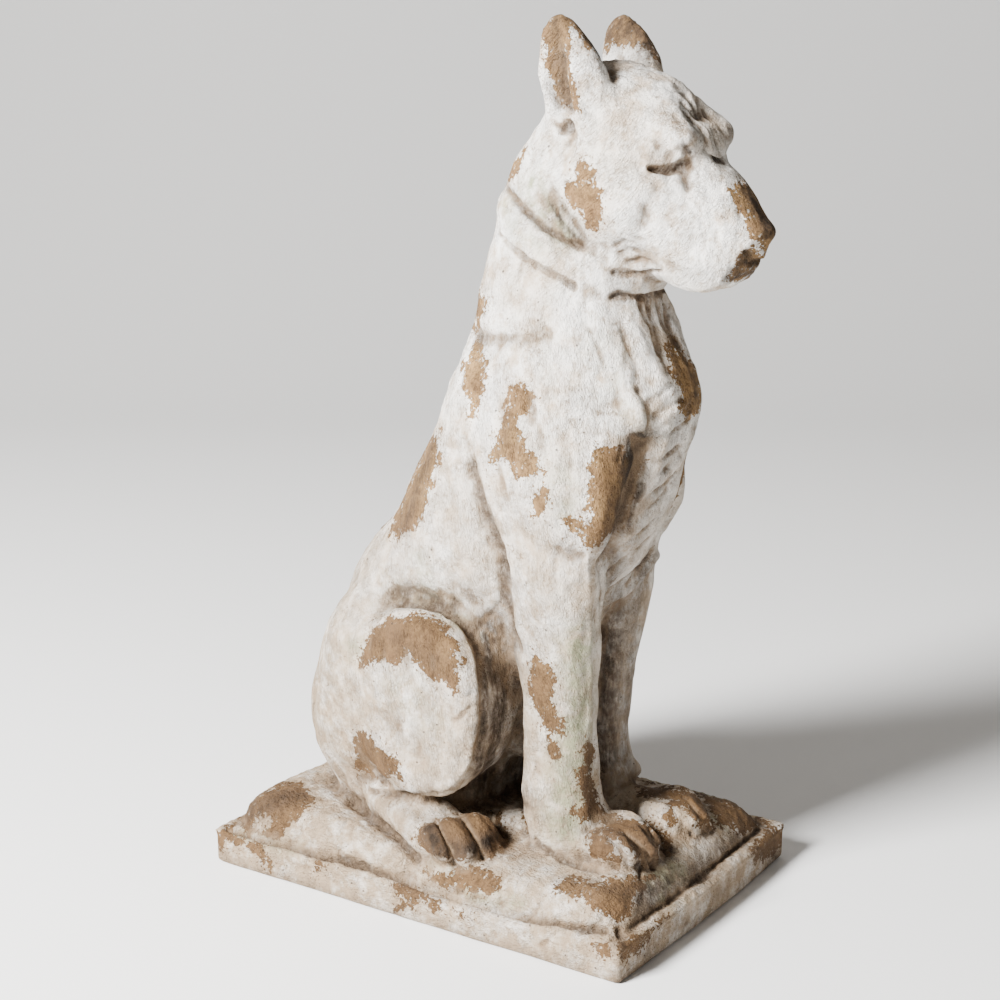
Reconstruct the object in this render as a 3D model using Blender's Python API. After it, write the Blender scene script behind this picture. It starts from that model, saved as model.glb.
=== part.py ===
"""A seated dog cast in one piece with its plinth, as a garden statue.

The dog faces -Y and its left side is +X. The origin is the middle of the plinth's underside.
The figure is built up as a modeller works in clay: swelling masses over a pose, merged into one
skin in stages, then folds and hollows drawn into that skin. Its points are millimetres on the
statue as drawn, above the ground that its paws stand on. They scale with FIGURE_HEIGHT, and
across with PLINTH_WIDTH, as the dog's thighs reach out to the sides of the plinth.
"""

import math

import bmesh
import bpy
import numpy as np
from mathutils import Matrix, Vector

# The plinth: a slab with rounded edges, and a mound of ground that swells up out of it.
PLINTH_LENGTH = 0.453
PLINTH_WIDTH = 0.318
SLAB_HEIGHT = 0.036
SLAB_CORNER_ROUND = 0.005
SLAB_TOP_ROUND = 0.009
SLAB_BOTTOM_ROUND = 0.001
MOUND_INSET = 0.009
MOUND_RISE = 0.030
MOUND_ROUND = 0.034
MOUND_SUNK = 0.012

# The figure, from the ground that it sits on to its ear tips.
FIGURE_HEIGHT = 0.734
DRAWN_HEIGHT = 734.0
DRAWN_PLINTH_WIDTH = 318.0

# The fineness of the clay while it is merged, how far each stage's joins are rounded, and the
# number of flat faces that the finished cast is kept to.
BODY_GRAIN = 0.008
SKIN_GRAIN = 0.0036
BODY_BLEND = 0.013
LIMB_BLEND = 0.0065
DETAIL_BLEND = 0.0042
CAST_FACES = 8900

GROUND = SLAB_HEIGHT + MOUND_RISE
SCALE = FIGURE_HEIGHT / DRAWN_HEIGHT
BREADTH = PLINTH_WIDTH / DRAWN_PLINTH_WIDTH

# The highest that the ground's own surface reaches, in the drawn millimetres.
MOUND_TOP = 8.0

# Each foreleg: its side, where its wrist stands on the ground plan, and how far its elbow is
# drawn back from over the wrist.
FORELEGS = ((-1, -58, -108, 8), (1, 43, -80, -11))
# Each hind foot: its side, and how far it is drawn back.
HIND_FEET = ((-1, 0), (1, 26))


def clear_scene():
    for obj in list(bpy.data.objects):
        bpy.data.objects.remove(obj)


def new_object(name, mesh_builder):
    """An object from a bmesh that mesh_builder fills."""
    mesh = bpy.data.meshes.new(name)
    shape = bmesh.new()
    mesh_builder(shape)
    shape.to_mesh(mesh)
    shape.free()
    obj = bpy.data.objects.new(name, mesh)
    bpy.context.scene.collection.objects.link(obj)
    return obj


def on_statue(point):
    """A drawn point, in millimetres above the ground, as a place on the statue, in metres."""
    return Vector((point[0] * BREADTH, point[1] * SCALE, GROUND + point[2] * SCALE))


def skinned(shape, rings):
    """Closes a row of equal rings of points into one tube with flat ends."""
    rows = [[shape.verts.new(point) for point in ring] for ring in rings]
    sides = len(rows[0])
    for low, high in zip(rows, rows[1:]):
        for k in range(sides):
            n = (k + 1) % sides
            shape.faces.new((low[k], low[n], high[n], high[k]))
    shape.faces.new(reversed(rows[0]))
    shape.faces.new(rows[-1])


def egg(shape, centre, radii, nod=0, swing=0, lean=0):
    """An ellipsoid mass: nod tips it about X, lean about Y and swing about Z, in degrees."""
    place = (
        Matrix.Translation(centre)
        @ Matrix.Rotation(math.radians(swing), 4, "Z")
        @ Matrix.Rotation(math.radians(lean), 4, "Y")
        @ Matrix.Rotation(math.radians(nod), 4, "X")
        @ Matrix.Diagonal((*radii, 1))
    )
    rings = []
    for rise in np.linspace(-80, 80, 11):
        height, reach = math.sin(math.radians(rise)), math.cos(math.radians(rise))
        turns = np.linspace(0, 2 * math.pi, 20, endpoint=False)
        ring = [Vector((reach * math.cos(t), reach * math.sin(t), height)) for t in turns]
        rings.append([on_statue(place @ point) for point in ring])
    skinned(shape, rings)


def smooth_stations(stations, steps):
    """Catmull-Rom points between stations, each a tuple of numbers."""
    rows = np.array([stations[0], *stations, stations[-1]], float)
    rows[0] = 2 * rows[1] - rows[2]
    rows[-1] = 2 * rows[-2] - rows[-3]
    out = []
    for i in range(1, len(rows) - 2):
        a, b, c, d = rows[i - 1 : i + 3]
        for t in np.arange(steps) / steps:
            bend = (c - a) * t + (2 * a - 5 * b + 4 * c - d) * t**2 + (3 * b - a - 3 * c + d) * t**3
            out.append(b + 0.5 * bend)
    out.append(rows[-2])
    return np.array(out)


def limb(shape, stations, steps=4, squareness=2.0, blunt=False, facing=None):
    """A lofted mass through stations of (x, y, z, half width, half depth).

    Each section lies across the run of the stations, or across facing where that is given. Its
    width is along X, or along Y where it faces X. A blunt limb ends flat, and any other in a
    smaller round.
    """
    rows = smooth_stations(stations, steps)
    if not blunt:
        caps = []
        for end, inner in ((rows[0], rows[1]), (rows[-1], rows[-2])):
            cap = end.copy()
            run = (end - inner)[:3]
            cap[:3] += run / np.linalg.norm(run) * 0.5 * end[3:].min()
            cap[3:] *= 0.6
            caps.append(cap)
        rows = np.vstack([caps[0], rows, caps[1]])
    runs = [facing] * len(rows) if facing else np.gradient(rows[:, :3], axis=0)
    rings = []
    for (x, y, z, half_width, half_depth), run in zip(rows, runs):
        ahead = Vector(run).normalized()
        across = Vector((1, 0, 0)) - ahead * ahead.x
        if across.length < 0.3:
            across = Vector((0, 1, 0)) - ahead * ahead.y
        across.normalize()
        deep = ahead.cross(across)
        ring = []
        for turn in np.linspace(0, 2 * math.pi, 24, endpoint=False):
            c, s = math.cos(turn), math.sin(turn)
            grow = (abs(c) ** squareness + abs(s) ** squareness) ** (-1 / squareness)
            spot = (across * c * half_width + deep * s * half_depth) * grow
            ring.append(on_statue(Vector((x, y, z)) + spot))
        rings.append(ring)
    skinned(shape, rings)


def pair_of_eggs(shape, centre, radii, nod=0, swing=0, lean=0):
    x, y, z = centre
    for side in (1, -1):
        egg(shape, (side * x, y, z), radii, nod, side * swing, side * lean)


def pair_of_limbs(shape, stations, **keys):
    for side in (1, -1):
        limb(shape, [(side * x, *rest) for x, *rest in stations], **keys)


def torso(shape):
    limb(
        shape,
        [
            (0, -97, 606, 57, 70),
            (0, -84, 545, 65, 75),
            (0, -76, 490, 75, 85),
            (0, -79, 436, 89, 101),
            (0, -75, 386, 99, 116),
            (0, -56, 334, 103, 112),
            (0, -28, 279, 102, 113),
            (0, 4, 224, 100, 110),
            (0, 38, 170, 96, 122),
            (0, 62, 115, 90, 106),
            (0, 80, 58, 91, 98),
            (0, 86, 8, 92, 94),
        ],
        squareness=2.25,
    )
    egg(shape, (0, 72, 194), (82, 70, 70), nod=-30)


def shoulders(shape):
    egg(shape, (-64, -108, 344), (46, 60, 92), nod=-8, lean=6)
    egg(shape, (62, -100, 344), (46, 58, 92), nod=-8, lean=-6)
    egg(shape, (-68, -106, 262), (36, 44, 70), nod=6)
    egg(shape, (58, -88, 262), (34, 42, 70), nod=6)
    egg(shape, (2, -150, 398), (50, 49, 64), nod=12)
    egg(shape, (0, -120, 316), (44, 40, 50), nod=-14)


def rump(shape):
    pair_of_eggs(shape, (64, 68, 126), (62, 91, 101), nod=-6, lean=5)
    pair_of_eggs(shape, (56, 100, 84), (60, 76, 92))


def haunches(shape):
    """Each thigh is a thick disc, flat outside and crisp at its front edge, sunk into the rump."""
    pair_of_limbs(
        shape,
        [
            (50, 18, 124, 72, 84),
            (94, 20, 126, 77, 89),
            (114, 16, 126, 75, 89),
            (126, 6, 126, 64, 86),
            (132, -2, 126, 50, 76),
        ],
        squareness=2.4,
        blunt=True,
        facing=(1, 0, 0),
    )
    egg(shape, (0, -34, 74), (24, 40, 28), nod=38)


def forelegs(shape):
    for side, x, y, back in FORELEGS:
        limb(
            shape,
            [
                (x + side * 8, y + back, 272, 36, 44),
                (x + side * 4, y + back * 0.9, 216, 32, 40),
                (x + side * 1, y + back * 0.6, 160, 28, 34),
                (x, y + back * 0.2 + 2, 105, 26, 33),
                (x, y + 3, 62, 28, 35),
                (x, y + 1, 36, 29, 36),
                (x + side * 2, y - 10, 16, 31, 36),
            ],
            squareness=3.2,
        )


def hind_feet(shape):
    for side, back in HIND_FEET:
        limb(
            shape,
            [
                (side * 80, 76, 14, 26, 20),
                (side * 92, 54, 16, 28, 22),
                (side * 104, 24 + back / 2, 14, 30, 22),
                (side * 112, -6 + back, 11, 31, 19),
            ],
        )


def tail(shape):
    """It lies on the ground round the dog's left side."""
    limb(
        shape,
        [
            (6, 146, 30, 24, 22),
            (44, 166, 14, 20, 18),
            (88, 160, 8, 17, 15),
            (116, 128, 6, 14, 13),
            (128, 90, 5, 11, 11),
            (130, 64, 4, 8, 9),
        ],
    )


def skull(shape):
    egg(shape, (0, -132, 632), (59, 80, 62), nod=26)
    egg(shape, (0, -88, 615), (52, 48, 52), nod=10)
    pair_of_eggs(shape, (24, -186, 578), (23, 52, 36), nod=26)
    egg(shape, (0, -162, 640), (48, 46, 42), nod=44)
    pair_of_eggs(shape, (36, -142, 590), (33, 56, 48), nod=22)
    pair_of_eggs(shape, (34, -164, 562), (20, 46, 28), nod=18)
    limb(
        shape,
        [
            (0, -160, 602, 43, 46),
            (0, -194, 583, 37, 43),
            (0, -220, 564, 32, 39),
            (0, -242, 549, 29, 31),
        ],
        squareness=2.7,
    )
    pair_of_eggs(shape, (22, -208, 537), (22, 42, 30), nod=18)
    limb(shape, [(0, -110, 556, 52, 42), (0, -155, 546, 44, 31), (0, -205, 529, 31, 22)])


def paws(shape):
    paw(shape, (-60, -150), toe_reach=49, width=69, swing=15)
    paw(shape, (34, -148), toe_reach=50, width=66, swing=4, sunk=5)
    for side, back in HIND_FEET:
        paw(shape, (side * 114, -20 + back), toe_reach=44, width=66, swing=side * 22, sunk=7)


def paw(shape, centre, toe_reach, width, swing, sunk=0):
    """Four toes side by side, the middle two ahead, arched down to the ground from a flat foot."""
    place = Matrix.Rotation(math.radians(swing), 3, "Z")
    x, y = centre
    for spread, ahead in ((-0.36, 0.7), (-0.125, 1.0), (0.125, 1.0), (0.36, 0.7)):
        stations = []
        for reach, z, half_width, half_depth in (
            (-0.1, 17, 0.11, 12),
            (0.35, 20, 0.125, 13),
            (0.7, 17, 0.13, 13),
            (1.0, 9, 0.115, 10),
        ):
            across = spread * width * (1 + 0.14 * reach)
            spot = place @ Vector((across, -toe_reach * reach * ahead, z))
            stations.append((x + spot.x, y + spot.y, z - sunk, half_width * width, half_depth))
        limb(shape, stations, steps=3, squareness=2.3)
    egg(shape, (x, y + 14, 12 - sunk), (width * 0.44, toe_reach * 0.85, 18), swing=swing)


def ears(shape):
    """Cropped ears: upright leaves, wide from front to back, thin from side to side."""
    pair_of_limbs(
        shape,
        [
            (36, -110, 630, 19, 34),
            (44, -111, 657, 18, 36),
            (49, -104, 688, 15, 31),
            (51, -96, 713, 11, 23),
            (52, -91, 731, 7, 11),
        ],
    )


def face(shape):
    egg(shape, (0, -257, 556), (22, 17, 15), nod=34)
    egg(shape, (0, -245, 539), (22, 17, 18))
    egg(shape, (0, -213, 524), (23, 30, 15), nod=8)
    pair_of_eggs(shape, (28, -193, 639), (20, 28, 14), nod=36, swing=-14)


def collar(shape):
    """A band round the neck, broad at the nape and narrow at the throat."""
    rows = []
    for turn in np.linspace(0, 2 * math.pi, 48, endpoint=False):
        across, along = math.sin(turn), math.cos(turn)
        half_height = 14 + 5 * along
        row = []
        for out, rise in ((-12, -0.9), (2, -1), (4, -0.7), (4, 0.7), (2, 1), (-12, 0.9)):
            x = across * (66 + out)
            y = -86 + along * (73 + out) * (1 + 0.04 * rise * along) - 3 * rise
            z = 538 + 29 * along + half_height * rise
            row.append(shape.verts.new(on_statue((x, y, z))))
        rows.append(row)
    for low, high in zip(rows, rows[1:] + rows[:1]):
        for k in range(len(low)):
            n = (k + 1) % len(low)
            shape.faces.new((low[k], high[k], high[n], low[n]))


def rounded_block(shape, size, middle_height, corner_round, top_round, bottom_round):
    """A box with its upright edges rounded, then its top and bottom rims."""
    bmesh.ops.create_cube(
        shape,
        size=1,
        matrix=Matrix.Translation((0, 0, middle_height)) @ Matrix.Diagonal((*size, 1)),
    )
    upright = [e for e in shape.edges if abs(e.verts[0].co.z - e.verts[1].co.z) > size[2] / 2]
    bmesh.ops.bevel(shape, geom=upright, offset=corner_round, segments=4, affect="EDGES", profile=0.5)
    for sign, offset in ((1, top_round), (-1, bottom_round)):
        if not offset:
            continue
        rim = [
            e
            for e in shape.edges
            if all((v.co.z - middle_height) * sign > size[2] * 0.49 for v in e.verts)
        ]
        bmesh.ops.bevel(
            shape, geom=rim, offset=offset, segments=5, affect="EDGES", profile=0.5, clamp_overlap=True
        )


def mound(shape):
    """The ground: a pillow with rounded shoulders, with its foot just inside the slab's rim."""
    depth = MOUND_RISE + MOUND_SUNK
    size = (PLINTH_WIDTH - 2 * MOUND_INSET, PLINTH_LENGTH - 2 * MOUND_INSET, depth)
    pillow = bpy.data.meshes.new("pillow")
    block = bmesh.new()
    rounded_block(block, size, GROUND - depth / 2, MOUND_ROUND, MOUND_ROUND, 0)
    block.to_mesh(pillow)
    block.free()
    shape.from_mesh(pillow)
    bpy.data.meshes.remove(pillow)
    egg(shape, (-42, -52, -4), (26, 30, 18))


def slab(shape):
    size = (PLINTH_WIDTH, PLINTH_LENGTH, SLAB_HEIGHT)
    rounded_block(
        shape, size, SLAB_HEIGHT / 2, SLAB_CORNER_ROUND, SLAB_TOP_ROUND, SLAB_BOTTOM_ROUND
    )


def evaluated(obj):
    """Replaces an object's mesh by what its modifiers make of it."""
    graph = bpy.context.evaluated_depsgraph_get()
    mesh = bpy.data.meshes.new_from_object(obj.evaluated_get(graph))
    obj.modifiers.clear()
    obj.data = mesh
    return obj


def numbers(items, name, width, kind=float):
    """One attribute of every item in a mesh's list, as rows of numbers."""
    flat = np.empty(len(items) * width, kind)
    items.foreach_get(name, flat)
    return flat.reshape(-1, width)


def relaxed(obj, grain, spread):
    """Rounds the creases between masses over about spread metres."""
    mesh = obj.data
    a, b = numbers(mesh.edges, "vertices", 2, int).T
    ends, others = np.r_[a, b], np.r_[b, a]
    points = numbers(mesh.vertices, "co", 3)
    size = len(points)
    count = np.bincount(ends, minlength=size)[:, None]
    pull = 0.6
    for _ in range(max(1, round((spread / grain) ** 2 / pull))):
        total = np.column_stack([np.bincount(ends, points[others, k], size) for k in range(3)])
        points += pull * (total / count - points)
    mesh.vertices.foreach_set("co", points.ravel())
    mesh.update()


def clay_stage(name, under, masses, grain, spread):
    """Adds masses to the skin under them, merges the two and rounds the joins."""

    def build(shape):
        for mass in masses:
            mass(shape)
        if under:
            shape.from_mesh(under.data)

    obj = new_object(name, build)
    if under:
        bpy.data.objects.remove(under)
    remesh = obj.modifiers.new("merge clay", "REMESH")
    remesh.mode = "VOXEL"
    remesh.voxel_size = grain
    evaluated(obj)
    relaxed(obj, grain, spread)
    return obj


def distance_to_path(spots, path):
    """How far each flat spot is from a path of straight runs."""
    best = np.full(len(spots), np.inf)
    for start, end in zip(path, path[1:]):
        run = end - start
        share = np.clip((spots - start) @ run / (run @ run), 0, 1)
        best = np.minimum(best, np.linalg.norm(spots - start - share[:, None] * run, axis=1))
    return best


def drawn_strokes():
    """Folds and hollows as (view, path, half width, rise), in millimetres.

    A side stroke is drawn on both flanks as seen from the side, over (y, z), a front stroke as
    seen from the front, over (x, z), and a ground stroke on the mound as seen from above, over
    (x, y). A negative rise is a groove.
    """
    ear_hollow = [(-102, 640), (-100, 662), (-98, 684)]
    ear_tip_hollow = [(-97, 698), (-96, 708)]
    haunch_edge = [(62, 214), (30, 226), (-4, 228), (-34, 222), (-54, 204)]
    arm_back = [(-30, 362), (-42, 318), (-54, 290), (-62, 262), (-68, 228)]
    strokes = [
        ("side", ear_hollow, 12, -11),
        ("side", ear_tip_hollow, 8, -2.5),
        ("side", [(-102, 634), (-98, 640)], 8, -6),
        ("side", [(-122, 700), (-120, 665), (-116, 640)], 6, 3),
        ("side", [(-185, 611), (-194, 613), (-204, 611)], 5, -3),
        ("side", [(-209, 622), (-212, 608), (-212, 596)], 6, -3),
        ("side", [(-180, 620), (-194, 624), (-208, 621)], 6, 3),
        ("side", [(-182, 600), (-198, 597)], 7, 2.5),
        ("side", [(-176, 632), (-194, 638), (-214, 640)], 8, 3),
        ("side", [(-184, 588), (-178, 566), (-170, 546)], 8, -2),
        ("side", [(-164, 541), (-176, 537)], 7, -2.5),
        ("side", [(-82, 584), (-98, 562), (-118, 540)], 13, -8),
        ("side", [(-178, 536), (-196, 528), (-226, 520), (-246, 526), (-258, 538)], 6, -3),
        ("side", haunch_edge, 13, -8),
        ("side", [(-30, 42), (0, 34), (50, 28), (90, 26)], 9, -3),
        ("side", [(-28, 140), (-54, 128)], 6, -3),
        ("side", arm_back, 14, -6),
        ("side", [(-150, 420), (-140, 372), (-146, 326)], 16, -4),
        ("side", [(-8, 470), (-20, 452), (-46, 446)], 12, -4),
        ("front", [(0, 674), (0, 646), (0, 620)], 7, -6),
        ("front", [(15, 668), (14, 646), (11, 622)], 6, -4),
        ("front", [(-15, 668), (-14, 646), (-11, 622)], 6, -4),
        ("front", [(0, 546), (0, 524)], 5, -4),
        ("front", [(9, 550), (12, 546)], 5, -6),
        ("front", [(-9, 550), (-12, 546)], 5, -6),
        ("front", [(0, 450), (-5, 410), (-7, 370), (-5, 330)], 10, -4),
        ("front", [(-34, 480), (-26, 440), (-28, 380)], 11, 4),
        ("front", [(34, 480), (26, 440), (28, 380)], 11, 4),
        ("front", [(-38, 330), (-28, 290), (-8, 262)], 12, 4),
        ("front", [(38, 330), (28, 290), (8, 262)], 12, 4),
        ("ground", [(-94, 108), (-114, 62), (-132, 20), (-150, -16)], 9, -5),
        ("ground", [(-136, 120), (-146, 60), (-158, 10)], 16, 4),
        ("ground", [(94, 124), (114, 82), (132, 44), (150, 8)], 9, -4),
        ("ground", [(-84, -60), (-112, -110), (-128, -170)], 20, -4),
        ("ground", [(152, -30), (150, -110), (138, -196)], 24, -6),
        ("ground", [(-130, 186), (-60, 205)], 22, 4),
    ]
    return strokes


def carved(obj, strokes):
    """Moves the skin along its normals under each stroke, most on the stroke's middle line."""
    mesh = obj.data
    points = numbers(mesh.vertices, "co", 3)
    normals = numbers(mesh.vertices, "normal", 3)
    drawn = (points - (0, 0, GROUND)) / (BREADTH, SCALE, SCALE)
    lift = np.zeros(len(points))
    for view, path, half_width, rise in strokes:
        if view == "side":
            spots = drawn[:, 1:]
            facing = np.abs(normals[:, 0])
        elif view == "front":
            spots = drawn[:, ::2]
            facing = -normals[:, 1]
        else:
            spots = drawn[:, :2]
            facing = np.where(drawn[:, 2] < MOUND_TOP, normals[:, 2], 0)
        away = distance_to_path(spots, np.array(path, float))
        lift += rise * np.exp(-((away / half_width) ** 2)) * np.clip((facing - 0.1) / 0.35, 0, 1)
    points += normals * (lift * SCALE)[:, None]
    mesh.vertices.foreach_set("co", points.ravel())
    mesh.update()


def build_figure():
    body = clay_stage("body", None, [torso, shoulders, rump], BODY_GRAIN, BODY_BLEND)
    limbs = clay_stage(
        "limbs", body, [haunches, forelegs, hind_feet, tail, skull], SKIN_GRAIN, LIMB_BLEND
    )
    details = [paws, ears, face, collar, mound]
    figure = clay_stage("dog_statue", limbs, details, SKIN_GRAIN, DETAIL_BLEND)
    carved(figure, drawn_strokes())
    relaxed(figure, SKIN_GRAIN, DETAIL_BLEND)
    thinned = figure.modifiers.new("flat faces of the cast", "DECIMATE")
    quads = len(figure.data.polygons)
    thinned.ratio = CAST_FACES / (2 * quads)
    return evaluated(figure)


def flat_underside(obj, height):
    """Cuts off what hangs below a height, so that the mound's foot ends inside the slab."""
    shape = bmesh.new()
    shape.from_mesh(obj.data)
    cut = bmesh.ops.bisect_plane(
        shape,
        geom=[*shape.verts, *shape.edges, *shape.faces],
        plane_co=(0, 0, height),
        plane_no=(0, 0, -1),
        clear_outer=True,
    )
    rim = [item for item in cut["geom_cut"] if isinstance(item, bmesh.types.BMEdge)]
    bmesh.ops.holes_fill(shape, edges=rim, sides=0)
    bmesh.ops.triangulate(shape, faces=[f for f in shape.faces if len(f.verts) > 4])
    shape.to_mesh(obj.data)
    shape.free()


def painted_clay():
    material = bpy.data.materials.new("limewashed cast clay")
    material.use_nodes = True
    shader = material.node_tree.nodes["Principled BSDF"]
    shader.inputs["Base Color"].default_value = (0.80, 0.76, 0.70, 1)
    shader.inputs["Roughness"].default_value = 0.85
    shader.inputs["Metallic"].default_value = 0.0
    return material


def main():
    clear_scene()
    statue = build_figure()
    flat_underside(statue, GROUND - MOUND_RISE - MOUND_SUNK * 0.6)
    plinth = new_object("slab", slab)
    union = statue.modifiers.new("cast in one with the slab", "BOOLEAN")
    union.operation = "UNION"
    union.solver = "EXACT"
    union.object = plinth
    evaluated(statue)
    bpy.data.objects.remove(plinth)
    statue.data.materials.clear()
    statue.data.materials.append(painted_clay())
    statue.data.shade_smooth()
    statue.data.set_sharp_from_angle(angle=math.radians(50))


if __name__ == "__main__":
    main()
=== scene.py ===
# %% [markdown]
# # A weathered garden dog, cast in one piece with its plinth
# The real object is a hollow casting of tan clay, brushed with a chalky white paint that has
# flaked off the high and wet places, and with dirt left in every fold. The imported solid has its
# true outline and its main folds. Here the same solid is refined, as a caster's modeller would
# with a loop and a knife, and then it is painted, chipped and dirtied.

import math

import bpy
import numpy as np
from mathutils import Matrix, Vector
from mathutils.bvhtree import BVHTree


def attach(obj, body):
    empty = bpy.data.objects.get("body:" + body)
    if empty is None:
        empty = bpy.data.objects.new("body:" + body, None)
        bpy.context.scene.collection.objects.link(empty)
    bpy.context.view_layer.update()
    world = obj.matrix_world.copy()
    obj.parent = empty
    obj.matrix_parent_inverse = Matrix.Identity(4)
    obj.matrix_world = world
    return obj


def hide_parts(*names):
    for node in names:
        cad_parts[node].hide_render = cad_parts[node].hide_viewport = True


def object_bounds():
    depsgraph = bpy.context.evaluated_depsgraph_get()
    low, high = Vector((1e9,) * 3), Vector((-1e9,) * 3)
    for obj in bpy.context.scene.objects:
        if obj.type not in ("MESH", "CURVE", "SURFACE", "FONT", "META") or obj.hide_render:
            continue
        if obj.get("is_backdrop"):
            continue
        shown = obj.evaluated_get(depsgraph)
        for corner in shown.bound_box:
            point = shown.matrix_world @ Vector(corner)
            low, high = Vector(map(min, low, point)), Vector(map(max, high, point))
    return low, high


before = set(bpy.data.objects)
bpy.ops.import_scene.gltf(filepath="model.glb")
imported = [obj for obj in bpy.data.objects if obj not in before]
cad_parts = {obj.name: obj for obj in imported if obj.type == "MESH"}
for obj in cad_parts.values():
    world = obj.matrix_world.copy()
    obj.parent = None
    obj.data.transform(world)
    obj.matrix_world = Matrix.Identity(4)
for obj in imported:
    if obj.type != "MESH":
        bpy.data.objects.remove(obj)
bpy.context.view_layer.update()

# %% [markdown]
# ## The camera
# The photo looks down on the dog from its right and front, from about chest height. The place
# of the camera was worked out from the corners of the plinth, so that every fold can be set at
# the pixel where the photo shows it. The picture is 1000 pixels each way.

# %% The camera
PICTURE = 1000
FOCAL_PIXELS = 1956.0
EYE = Vector((-1.470, -0.983, 0.800))
HEADING = Vector((0.831, 0.556, 0)).normalized()
PITCH = math.radians(13.96)

camera_data = bpy.data.cameras.new("photo camera")
camera_data.sensor_width = 36
camera_data.lens = 36 * FOCAL_PIXELS / PICTURE
camera = bpy.data.objects.new("photo camera", camera_data)
bpy.context.scene.collection.objects.link(camera)
camera.location = EYE
camera.rotation_euler = (math.pi / 2 - PITCH, 0, -math.atan2(HEADING.x, HEADING.y))
bpy.context.scene.camera = camera

AHEAD = HEADING * math.cos(PITCH) - Vector((0, 0, math.sin(PITCH)))
RIGHT = AHEAD.cross(Vector((0, 0, 1))).normalized()
UP = RIGHT.cross(AHEAD)
print("lens, mm", round(camera_data.lens, 1))


def pixels(points):
    """Where rows of points show in the picture, and how far away they are."""
    away = points - np.array(EYE)
    depth = away @ np.array(AHEAD)
    across = PICTURE / 2 + FOCAL_PIXELS * (away @ np.array(RIGHT)) / depth
    down = PICTURE / 2 - FOCAL_PIXELS * (away @ np.array(UP)) / depth
    return np.column_stack([across, down]), depth


def sight(across, down):
    """The direction in which the camera sees a pixel."""
    half = PICTURE / 2
    return (AHEAD * FOCAL_PIXELS + RIGHT * (across - half) - UP * (down - half)).normalized()


# %% [markdown]
# ## Fresh clay over the solid
# The solid has flat faces some 15 mm wide. A copy of it is merged into one skin and subdivided,
# which rounds those faces off, and a crisp new slab is laid over the old one, because that
# rounding also softens the slab's edges. A voxel remesh then makes one even skin of the two,
# fine enough for a modeller's small tools. A pellet of clay goes on first, between the brows.

# %% Fresh clay over the solid
CLAY_GRAIN = 0.00185
HAIR = 0.0001


def only(obj):
    """Makes one object the only one selected, and the active one."""
    bpy.ops.object.select_all(action="DESELECT")
    obj.select_set(True)
    bpy.context.view_layer.objects.active = obj


def applied(obj, name, kind, **settings):
    """Adds a modifier and applies it."""
    modifier = obj.modifiers.new(name, kind)
    for key, value in settings.items():
        setattr(modifier, key, value)
    only(obj)
    bpy.ops.object.modifier_apply(modifier=modifier.name)


print("clay grain, mm", round(1000 * CLAY_GRAIN, 2))

# %% The solid, merged and rounded
cast = bpy.data.objects.new("cast_dog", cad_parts["dog_statue"].data.copy())
bpy.context.scene.collection.objects.link(cast)
only(cast)
bpy.ops.object.mode_set(mode="EDIT")
bpy.ops.mesh.select_all(action="SELECT")
bpy.ops.mesh.remove_doubles(threshold=HAIR / 10)
bpy.ops.object.mode_set(mode="OBJECT")
applied(cast, "round the flat faces", "SUBSURF", levels=2, render_levels=2)
print("rounded solid:", len(cast.data.polygons), "faces")

# %% A crisp slab, with a round bead along its upper edge
SLAB = (0.318, 0.453, 0.036)
SLAB_ARRIS = 0.003
SLAB_BEAD = 0.009
bpy.ops.object.select_all(action="DESELECT")
bpy.ops.mesh.primitive_cube_add(size=1, location=(0, 0, SLAB[2] / 2))
slab = bpy.context.object
slab.scale = SLAB
bpy.ops.object.transform_apply(location=True, rotation=False, scale=True)
applied(slab, "crisp edges", "BEVEL", width=SLAB_ARRIS, segments=2)
bpy.ops.object.mode_set(mode="EDIT")
bpy.ops.mesh.select_all(action="DESELECT")
bpy.ops.object.mode_set(mode="OBJECT")
for edge in slab.data.edges:
    ends = [slab.data.vertices[i].co for i in edge.vertices]
    edge.select = all(co.z > SLAB[2] - HAIR for co in ends)
bpy.ops.object.mode_set(mode="EDIT")
bpy.ops.mesh.bevel(offset=SLAB_BEAD, segments=5, affect="EDGES")
bpy.ops.object.mode_set(mode="OBJECT")
print("slab, mm", [round(1000 * side) for side in slab.dimensions])

# %% The pellet, and one skin over all three
PELLET_PLACE = (0, -0.189, 0.699)
PELLET_RADII = (0.034, 0.028, 0.019)
bpy.ops.object.select_all(action="DESELECT")
bpy.ops.mesh.primitive_uv_sphere_add(segments=32, ring_count=16, location=PELLET_PLACE)
pellet = bpy.context.object
pellet.scale = PELLET_RADII

only(cast)
slab.select_set(True)
pellet.select_set(True)
bpy.ops.object.join()
applied(cast, "one even skin", "REMESH", mode="VOXEL", voxel_size=CLAY_GRAIN)
print("fine skin:", len(cast.data.vertices), "points")


# %% [markdown]
# ## Tools for working the clay
# All the points are held in one table, so that a stroke can move thousands of them at once.
# relaxed() strokes the clay smooth as a damp finger does, and pressed() draws a tool along a
# path that is given in the photo's pixels: each pixel is sent out from the camera until it meets
# the clay. A path that the camera can't see well is given in millimetres instead. A stroke has
# a half width and a rise in millimetres, and a negative rise cuts in.

# %% Tools for working the clay
MM = 0.001
mesh = cast.data
points = np.empty(len(mesh.vertices) * 3)
mesh.vertices.foreach_get("co", points)
points = points.reshape(-1, 3)
edge_ends = np.empty(len(mesh.edges) * 2, int)
mesh.edges.foreach_get("vertices", edge_ends)
near, far = edge_ends.reshape(-1, 2).T
here = np.r_[near, far]
there = np.r_[far, near]
edge_count = np.bincount(here, minlength=len(points))


def averaged(values):
    """Each point's value averaged over the points joined to it."""
    if values.ndim == 1:
        return np.bincount(here, values[there], len(values)) / edge_count
    return np.column_stack([averaged(column) for column in values.T])


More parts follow.
